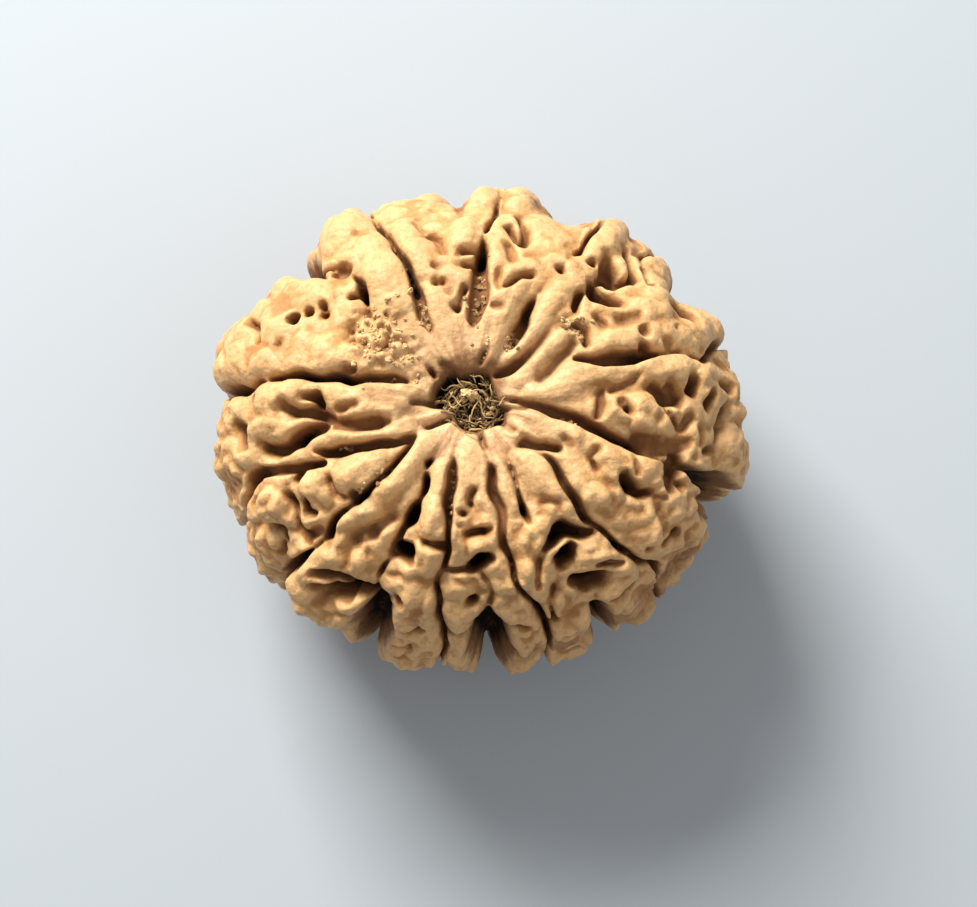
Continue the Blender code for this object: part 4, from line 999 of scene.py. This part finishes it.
def stone_material(settings):
    """Dry tan stone: stained troughs and painted shade in the hollows and creases; crowns rubbed pale
    with a painted highlight, and faintly polished.
    """
    material, sheet, shader, grain = grained_material("stone")
    hollow = sheet.attribute("hollow")
    crown = sheet.attribute("crown")
    near_pole = sheet.attribute("near_pole")
    patch = grain["Patch"]
    speck = grain["Speck"]
    stain_and_shade_depth = sheet.math("ADD", sheet.attribute("cut"), sheet.spread(patch, 0.3, 0.7, -0.2, 0.2))

    colour = settings.stone_colour
    # Each coat: (mask, where it starts, where it is full, how full, colour)
    for mask, low, high, most, coat in (
        (grain["Broad"], 0.38, 0.62, 1.0, settings.warm_colour),
        (near_pole, 0.0, 1.0, 0.8, settings.pole_colour),
        (patch, 0.46, 0.70, 0.7, settings.stain_and_shade_colour),
        # crowns painted lighter: rubbed, and a painted highlight; concave places painted darker as
        # painted shade in creases
        (crown, 0.02, 0.10, 0.65, settings.crown_wear_and_highlight_colour),
        (crown, -0.02, -0.10, 0.45, settings.stain_and_shade_colour),
        (speck, 0.5, 0.7, 0.38, settings.stain_and_shade_colour),
        (sheet.attribute("streak"), 0.05, 0.45, 0.5, settings.stain_and_shade_colour),
        # trough floors: a real brown stain, plus painted shade where nearby walls shut out the sky
        (stain_and_shade_depth, 0.2, 0.75, 0.85, settings.trough_stain_and_shade_colour),
        (hollow, 0.45, 0.85, 0.5, settings.trough_stain_and_shade_colour),
    ):
        colour = sheet.mix(sheet.spread(mask, low, high, 0.0, most), colour, coat)
    # painted shade: near black deep in the cuts and the mouth and where walls shut out the sky, with
    # less of it near the pole
    deep = sheet.math("MULTIPLY", sheet.spread(stain_and_shade_depth, 1.3, 2.1), sheet.spread(hollow, 0.35, 0.65))
    deep = sheet.math("MULTIPLY", deep, sheet.spread(near_pole, 0.0, 0.6, 1.0, 0.25))
    deep = sheet.math("MAXIMUM", deep, sheet.spread(stain_and_shade_depth, 2.5, 3.2))
    colour = sheet.mix(deep, colour, settings.deep_shade_colour)

    rough = sheet.spread(crown, 0.0, 0.12, 0.62, 0.48)
    rough = sheet.math("ADD", rough, sheet.spread(speck, 0.3, 0.7, -0.05, 0.08))
    rough = sheet.math("ADD", rough, sheet.spread(stain_and_shade_depth, 0.3, 1.2, 0.0, 0.35))
    bump = sheet.add("ShaderNodeBump", {
        "Height": grain["Height"], "Strength": settings.grain, "Distance": 0.15 * MM})
    sheet.fill(shader, {
        "Base Color": colour,
        "Roughness": rough,
        "Specular IOR Level": 0.3,
        "Subsurface Weight": 0.06,
        "Subsurface Scale": 0.4 * MM,
        "Subsurface Radius": (1.0, 0.5, 0.25),
        "Normal": bump.outputs["Normal"]})
    return material


def length_setting(name, description, default, low, high):
    """A length in a panel; default and limits in millimetres."""
    return FloatProperty(
        name=name, description=description, default=default * MM, min=low * MM, max=high * MM,
        precision=5, unit="LENGTH")


def share_setting(name, description, default, low, high):
    """A plain factor in a panel."""
    return FloatProperty(
        name=name, description=description, default=default, min=low, max=high, subtype="FACTOR")


def power_setting(name, description, default):
    """A light's power in a panel."""
    return FloatProperty(name=name, description=description, default=default, min=0.0, unit="POWER")


def colour_setting(name, description, *default):
    """A colour in a panel."""
    return FloatVectorProperty(
        name=name, description=description, default=(*default, 1.0),
        size=4, subtype="COLOR", min=0, max=1)


class StoneSettings(bpy.types.PropertyGroup):
    """Sizes and colours of the stone."""

    mouth_radius: length_setting(
        "Mouth radius", "Radius of the hollow at the top pole", 1.45, 0.5, 4)
    mouth_depth: length_setting(
        "Mouth depth", "How deep the hollow at the top pole is", 1.9, 0.2, 4)
    valley_depth: length_setting(
        "Valley depth", "How far the surface falls towards each cleft", 0.36, 0.0, 1)
    cleft_width: share_setting(
        "Cleft width", "Width of the clefts as a share of their listed width", 0.62, 0.2, 2.0)
    lump_height: length_setting(
        "Lump height", "Height of the lumps on the flanks and underneath", 0.8, 0.0, 2)
    puff: length_setting(
        "Puff", "How far the surface swells to close its creases", 0.03, 0.0, 0.3)
    grain: share_setting(
        "Grain", "Strength of the fine roughness of the surface", 0.7, 0.0, 1.0)
    stone_colour: colour_setting(
        "Stone", "Main colour of the dry stone", 0.53, 0.294, 0.112)
    warm_colour: colour_setting(
        "Warm patches", "Colour of the warmer broad patches", 0.40, 0.195, 0.060)
    # the highest places: rubbed pale, and painted lighter as a highlight
    crown_wear_and_highlight_colour: colour_setting(
        "Crowns", "Colour of the highest, rubbed places", 0.66, 0.425, 0.20)
    pole_colour: colour_setting(
        "Pole", "Colour of the paler spokes round the mouth", 0.67, 0.455, 0.265)
    # small stains and specks, and also painted shade in concave places
    stain_and_shade_colour: colour_setting(
        "Stains", "Colour of small stains and specks", 0.28, 0.125, 0.042)
    # stained trough floors, and painted shade on the walls of holes
    trough_stain_and_shade_colour: colour_setting(
        "Troughs", "Colour of trough floors and of the walls of holes", 0.20, 0.085, 0.03)
    # painted shade: near black deep in clefts and pits
    deep_shade_colour: colour_setting(
        "Hollows", "Colour deep in clefts and pits", 0.022, 0.009, 0.004)


class RUDRAKSHA_OT_stone(bpy.types.Operator):
    """Carve the fine stone and let it stand for the bead's solid"""

    bl_idname = "rudraksha.stone"
    bl_label = "Carve stone"

    def execute(self, context):
        settings = context.scene.rudraksha_stone
        deselect_all()
        stone = add_ball()
        stone.name = stone.data.name = "stone_surface"
        mesh = stone.data
        unit = read_places(mesh)
        unit /= np.linalg.norm(unit, axis=1)[:, None]
        carved, cut, streak = carved_places(unit, settings)
        write_places(mesh, carved)
        finish_with(stone, "SMOOTH", factor=0.5, iterations=SMOOTH_ROUNDS)
        places = read_places(mesh) + read_normals(mesh) * settings.puff / MM
        places[:, 2] = places[:, 2].clip(0.0)
        write_places(mesh, places)
        finish_with(stone, "REMESH", mode="VOXEL", voxel_size=VOXEL)
        finish_with(stone, "SMOOTH", factor=0.5, iterations=LAST_SMOOTH)
        thin_out(stone.data, True, UNDER_FACES)
        thin_out(stone.data, False, UPPER_FACES)
        mesh = stone.data
        # share of sky shut out over each vertex, which the material paints as shade
        write_attribute(mesh, "hollow", hollow_share(mesh))
        write_attribute(mesh, "crown", crown_share(mesh, CROWN_ROUNDS))
        places = read_places(mesh)
        nearest = nearest_rows(carved, places)
        # carved depth with the mouth's painted shade, which the material paints as stains and shade
        write_attribute(mesh, "cut", cut[nearest])
        write_attribute(mesh, "streak", streak[nearest])
        reach = np.linalg.norm(places[:, :2], axis=1)
        write_attribute(mesh, "near_pole", (1 - ramp(reach, POLE_FADE)) * (places[:, 2] > HALF_HEIGHT))
        low, high = places.min(axis=0), places.max(axis=0)
        middle = (np.array(LOW) + np.array(HIGH)) / 2
        shift = middle - (low + high) / 2 * MM
        shift[2] = LOW.z - low[2] * MM
        write_places(mesh, places * MM + shift)
        stone["shift"] = tuple(shift)
        mesh.shade_smooth()
        mesh.materials.clear()
        mesh.materials.append(stone_material(settings))
        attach(stone, "root")
        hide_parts("bead")
        print("stone", len(mesh.polygons), "faces, shift", [round(x / MM, 3) for x in shift])
        return {"FINISHED"}


def repeated(item, count):
    """Repeats a one-piece mesh in place and returns its vertices, one block for each copy."""
    finish_with(item, "ARRAY", count=count, use_relative_offset=False)
    return read_places(item.data).reshape(count, -1, 3)


def add_lump():
    """A small closed ball of forty faces."""
    bpy.ops.mesh.primitive_uv_sphere_add(segments=8, ring_count=5, radius=1.0)
    return bpy.context.object


def add_strand():
    """A five-sided rod of unit length, cut across in six."""
    bpy.ops.mesh.primitive_cylinder_add(vertices=5, radius=1.0, depth=1.0)
    rod = bpy.context.object
    clear_selection("EDGE")
    corners = rod.data.vertices
    for edge in rod.data.edges:
        first, second = edge.vertices
        edge.select = abs(corners[first].co.z - corners[second].co.z) > 0.5
    bpy.ops.object.mode_set(mode="EDIT")
    bpy.ops.mesh.subdivide(number_cuts=STRAND_CUTS)
    bpy.ops.object.mode_set(mode="OBJECT")
    return rod


def place_lumps(blocks, rows, draw):
    """Moves each copy of the ball to its row: (middle, half sizes), turned and dented at random."""
    for block, (middle, halves) in zip(blocks, rows):
        dents = 1 + LUMP_DENT * draw.normal(size=(len(block), 1)).clip(-DEEPEST_DENT, DEEPEST_DENT)
        turn = Matrix.Rotation(draw.uniform(0, 2 * math.pi), 3, Vector(draw.normal(size=3)))
        block[:] = (block * dents * halves) @ np.array(turn).T + middle
    return blocks


def place_strands(blocks, rows):
    """Lays each copy of the rod along its row: (start, pull, end, radius)."""
    for block, (start, pull, end, radius) in zip(blocks, rows):
        share = block[:, 2:3] + 0.5
        line = (1 - share) ** 2 * start + 2 * share * (1 - share) * pull + share ** 2 * end
        line += soft_shift(line, *STRAND_KINKS)
        ahead = (1 - share) * (pull - start) + share * (end - pull)
        ahead /= np.linalg.norm(ahead, axis=1)[:, None]
        side = np.cross(ahead, STRAND_SIDE)
        side /= np.linalg.norm(side, axis=1)[:, None]
        over = np.cross(ahead, side)
        thick = radius * (1 - STRAND_TAPER * np.abs(2 * share - 1) ** 3)
        block[:] = line + thick * (side * block[:, 0:1] + over * block[:, 1:2])
    return blocks


def finish_small(item, name, blocks, shades, settings):
    """Writes the placed copies into a small piece, colours it and sets it on the stone."""
    item.name = item.data.name = name
    shift = np.array(bpy.data.objects["stone_surface"]["shift"])
    write_places(item.data, blocks.reshape(-1, 3) * MM + shift)
    write_attribute(item.data, "shade", np.repeat(shades, blocks.shape[1]))
    bpy.ops.object.mode_set(mode="EDIT")
    bpy.ops.mesh.select_all(action="SELECT")
    bpy.ops.mesh.normals_make_consistent(inside=False)
    bpy.ops.object.mode_set(mode="OBJECT")
    item.data.materials.append(remains_material(name, settings.dark_colour, settings.pale_colour))
    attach(item, "root")
    print(name, len(item.data.polygons), "faces")


def remains_material(name, dark, pale):
    """Dry plant remains, each bit with its own shade."""
    material, sheet, shader, grain = grained_material(name)
    specks = sheet.spread(grain["Speck"], 0.3, 0.7, -0.2, 0.2)
    share = sheet.math("ADD", sheet.attribute("shade"), specks)
    colour = sheet.mix(sheet.spread(share, 0.0, 1.0), dark, pale)
    bump = sheet.add("ShaderNodeBump", {
        "Height": grain["Height"], "Strength": 0.6, "Distance": 0.06 * MM})
    sheet.fill(shader, {
        "Base Color": colour,
        "Roughness": 0.75,
        "Specular IOR Level": 0.15,
        "Normal": bump.outputs["Normal"]})
    return material


class FibreSettings(bpy.types.PropertyGroup):
    """The tangle of dry strands in the mouth."""

    count: IntProperty(
        name="Strands", description="Number of strands in the tangle", default=330, min=1, max=400)
    radius: length_setting(
        "Strand radius", "Half the thickness of a strand", 0.05, 0.02, 0.4)
    spread: length_setting(
        "Spread", "How far from the middle of the mouth strands start", 1.55, 0.3, 4)
    dark_colour: colour_setting(
        "Dark strands", "Colour of the darkest strands", 0.05, 0.025, 0.01)
    pale_colour: colour_setting(
        "Pale strands", "Colour of the palest strands", 0.60, 0.40, 0.18)


class RUDRAKSHA_OT_fibres(bpy.types.Operator):
    """Lay the tangle of dry strands in the mouth"""

    bl_idname = "rudraksha.fibres"
    bl_label = "Lay fibres"

    def execute(self, context):
        settings = context.scene.rudraksha_fibres
        deselect_all()
        item = add_strand()
        draw = np.random.default_rng(FIBRE_SEED)
        rows = []
        shades = []
        spread = settings.spread / MM
        for _ in range(settings.count):
            away = math.sqrt(draw.uniform(FIBRE_HOLE, 1.0)) * spread
            turn = draw.uniform(0, 2 * math.pi)
            bowl = FIBRE_BOWL + (1 - FIBRE_BOWL) * away / spread
            height = draw.uniform(0.0, FIBRE_HEIGHT) * bowl
            start = np.array([*FIBRE_MIDDLE, FIBRE_FLOOR + height])
            start += away * np.array([math.cos(turn), math.sin(turn), 0.0])
            heading = turn + draw.normal(*FIBRE_TURN)
            length = draw.uniform(*FIBRE_LENGTH)
            rise = draw.uniform(*FIBRE_RISE)
            end = start + length * np.array([math.cos(heading), math.sin(heading), rise])
            pull = (start + end) / 2 + draw.normal(size=3) * length * FIBRE_BEND
            rows.append((start, pull, end, settings.radius / MM * draw.uniform(*FIBRE_THICKNESS)))
            shade = draw.uniform(0.0, 1.0) ** FIBRE_SHADE_POWER
            # strands lower in the mouth get a darker tone: painted shade down the hole
            shades.append(shade * (FIBRE_LOW_SHADE + (1 - FIBRE_LOW_SHADE) * height / FIBRE_HEIGHT))
        item.data.shade_smooth()
        blocks = place_strands(repeated(item, len(rows)), rows)
        finish_small(item, "mouth_fibres", blocks, shades, settings)
        return {"FINISHED"}


class CrumbSettings(bpy.types.PropertyGroup):
    """Crumbs in the mouth and in the clefts."""

    size: share_setting(
        "Crumb size", "Size of the crumbs as a share of their listed size", 1.0, 0.2, 3.0)
    dark_colour: colour_setting(
        "Dark crumbs", "Colour of the darkest crumbs", 0.17, 0.08, 0.03)
    pale_colour: colour_setting(
        "Pale crumbs", "Colour of the palest crumbs", 0.66, 0.45, 0.22)


class RUDRAKSHA_OT_mouth_crumbs(bpy.types.Operator):
    """Drop the pale crumb and the small ones into the mouth"""

    bl_idname = "rudraksha.mouth_crumbs"
    bl_label = "Drop mouth crumbs"

    def execute(self, context):
        settings = context.scene.rudraksha_crumbs
        deselect_all()
        item = add_lump()
        draw = np.random.default_rng(CRUMB_SEED)
        rows = []
        shades = []
        for across, back, height, half, shade in MOUTH_CRUMBS:
            halves = half * settings.size * draw.uniform(0.7, 1.1, 3)
            rows.append((np.array([across, back, height]), halves))
            shades.append(shade)
        blocks = place_lumps(repeated(item, len(rows)), rows, draw)
        finish_small(item, "mouth_crumbs", blocks, shades, settings)
        return {"FINISHED"}


class RUDRAKSHA_OT_cleft_crumbs(bpy.types.Operator):
    """Strew small crumbs along the clefts and over the crumbly patch"""

    bl_idname = "rudraksha.cleft_crumbs"
    bl_label = "Strew cleft crumbs"

    def execute(self, context):
        settings = context.scene.rudraksha_crumbs
        deselect_all()
        stone = bpy.data.objects["stone_surface"]
        shift = np.array(stone["shift"])
        item = add_lump()
        draw = np.random.default_rng(CRUMB_SEED + 1)
        rows = []
        shades = []
        for count, half, scatter, shade, points in CLEFT_CRUMBS:
            line = np.array(points, dtype=float)
            for _ in range(count):
                along = draw.uniform(0, len(line) - 1)
                first = min(int(along), len(line) - 2)
                spot = line[first] + (line[first + 1] - line[first]) * (along - first)
                target = plain_body(spot[:1], spot[1:])[0] + draw.normal(size=3) * scatter
                inward = BODY_MIDDLE - target
                inward /= np.linalg.norm(inward)
                start = (target - inward * DROP_FROM) * MM + shift
                hit, place, normal, _ = stone.ray_cast(start.tolist(), inward.tolist())
                if not hit:
                    continue
                halves = half * settings.size * draw.uniform(0.5, 1.2) * draw.uniform(0.7, 1.2, 3)
                middle = (np.array(place) - shift) / MM + np.array(normal) * halves.min() * CRUMB_SINK
                rows.append((middle, halves))
                shades.append(min(max(shade + draw.normal(0, CRUMB_SHADE_SPREAD), 0.0), 1.0))
        blocks = place_lumps(repeated(item, len(rows)), rows, draw)
        finish_small(item, "cleft_crumbs", blocks, shades, settings)
        return {"FINISHED"}


class StageSettings(bpy.types.PropertyGroup):
    """Floor, lights and camera."""

    floor_colour: colour_setting(
        "Floor", "Colour of the floor", 0.36, 0.40, 0.44)
    key_power: power_setting("Key light", "Power of the main light", 2.2)
    fill_power: power_setting("Fill light", "Power of the light that fills the shadows", 0.16)
    sky_strength: FloatProperty(
        name="Sky", description="Strength of the even light from all round", default=0.43, min=0.0)
    camera_distance: FloatProperty(
        name="Camera distance", description="From the camera to the bead's middle",
        default=130 * MM, min=60 * MM, precision=4, unit="LENGTH")
    camera_elevation: FloatProperty(
        name="Camera elevation", description="Angle of the view over the floor",
        default=math.radians(79.5), min=0.0, max=math.pi / 2, subtype="ANGLE")


def aim_camera(settings, pole):
    """A camera that looks down on the bead with its pole on the photograph's place."""
    tilt = settings.camera_elevation
    back = Vector((0.0, -math.cos(tilt), math.sin(tilt)))
    right = Vector((1.0, 0.0, 0.0))
    up = back.cross(right)
    distance = settings.camera_distance
    focal = PIXELS_PER_MM * distance / MM
    depth = distance - (pole - Vector((pole.x, pole.y, MIDDLE_HEIGHT * MM))).dot(back)
    across = (IMAGE_SIZE[0] / 2 - POLE_IN_IMAGE[0]) * depth / focal
    down = (POLE_IN_IMAGE[1] - IMAGE_SIZE[1] / 2) * depth / focal
    data = bpy.data.cameras.new("camera")
    data.sensor_width = SENSOR_WIDTH
    data.lens = focal * SENSOR_WIDTH / IMAGE_SIZE[0]
    data.clip_start = CLIP_NEAR
    data.clip_end = CLIP_FAR
    camera = bpy.data.objects.new("camera", data)
    bpy.context.scene.collection.objects.link(camera)
    turn = Matrix((right, up, back)).transposed().to_4x4()
    camera.matrix_world = Matrix.Translation(pole + back * depth + right * across + up * down) @ turn
    return camera


def add_light(name, place, aim, size, power, colour):
    """A soft square light that looks at the bead."""
    data = bpy.data.lights.new(name, "AREA")
    data.size = size
    data.energy = power
    data.color = colour
    light = bpy.data.objects.new(name, data)
    bpy.context.scene.collection.objects.link(light)
    light.location = place
    light.rotation_euler = (aim - place).to_track_quat("-Z", "Y").to_euler()
    return light


class RUDRAKSHA_OT_stage(bpy.types.Operator):
    """Lay the floor, hang the lights and place the camera"""

    bl_idname = "rudraksha.stage"
    bl_label = "Set stage"

    def execute(self, context):
        settings = context.scene.rudraksha_stage
        deselect_all()
        bpy.ops.mesh.primitive_plane_add(size=FLOOR_SIZE)
        floor = context.object
        floor.name = "floor"
        material = bpy.data.materials.new("floor")
        material.use_nodes = True
        shader = material.node_tree.nodes["Principled BSDF"]
        shader.inputs["Base Color"].default_value = settings.floor_colour
        shader.inputs["Roughness"].default_value = 0.8
        floor.data.materials.append(material)
        middle = Vector((0.0, 0.0, MIDDLE_HEIGHT * MM))
        lights = [
            add_light("key", KEY_PLACE, middle, KEY_SIZE, settings.key_power, KEY_COLOUR),
            add_light("fill", FILL_PLACE, middle, FILL_SIZE, settings.fill_power, FILL_COLOUR),
        ]
        world = bpy.data.worlds.new("sky")
        world.use_nodes = True
        background = world.node_tree.nodes["Background"]
        background.inputs["Color"].default_value = SKY_COLOUR
        background.inputs["Strength"].default_value = settings.sky_strength
        context.scene.world = world
        context.scene.view_settings.view_transform = "Standard"
        across, back, _ = bpy.data.objects["stone_surface"]["shift"]
        camera = aim_camera(settings, Vector((across, back, POLE_HEIGHT * MM)))
        context.scene.camera = camera
        return {"FINISHED"}


class RUDRAKSHA_PT_panel(bpy.types.Panel):
    """Lists the steps and their settings"""

    bl_label = "Rudraksha bead"
    bl_idname = "RUDRAKSHA_PT_panel"
    bl_space_type = "VIEW_3D"
    bl_region_type = "UI"
    bl_category = "Bead"

    def draw(self, context):
        scene = context.scene
        for group, operators in (
            (scene.rudraksha_stone, (RUDRAKSHA_OT_stone,)),
            (scene.rudraksha_fibres, (RUDRAKSHA_OT_fibres,)),
            (scene.rudraksha_crumbs, (RUDRAKSHA_OT_mouth_crumbs, RUDRAKSHA_OT_cleft_crumbs)),
            (scene.rudraksha_stage, (RUDRAKSHA_OT_stage,)),
        ):
            box = self.layout.box()
            for name in group.__annotations__:
                box.prop(group, name)
            for operator in operators:
                box.operator(operator.bl_idname)


CLASSES = (
    StoneSettings,
    FibreSettings,
    CrumbSettings,
    StageSettings,
    RUDRAKSHA_OT_stone,
    RUDRAKSHA_OT_fibres,
    RUDRAKSHA_OT_mouth_crumbs,
    RUDRAKSHA_OT_cleft_crumbs,
    RUDRAKSHA_OT_stage,
    RUDRAKSHA_PT_panel,
)


def register():
    for item in CLASSES:
        bpy.utils.register_class(item)
    bpy.types.Scene.rudraksha_stone = PointerProperty(type=StoneSettings)
    bpy.types.Scene.rudraksha_fibres = PointerProperty(type=FibreSettings)
    bpy.types.Scene.rudraksha_crumbs = PointerProperty(type=CrumbSettings)
    bpy.types.Scene.rudraksha_stage = PointerProperty(type=StageSettings)


def unregister():
    del bpy.types.Scene.rudraksha_stage
    del bpy.types.Scene.rudraksha_crumbs
    del bpy.types.Scene.rudraksha_fibres
    del bpy.types.Scene.rudraksha_stone
    for item in reversed(CLASSES):
        bpy.utils.unregister_class(item)


def main():
    """Runs every step in order."""
    register()
    bpy.ops.rudraksha.stone()
    bpy.ops.rudraksha.fibres()
    bpy.ops.rudraksha.mouth_crumbs()
    bpy.ops.rudraksha.cleft_crumbs()
    bpy.ops.rudraksha.stage()


if __name__ == "__main__":
    main()
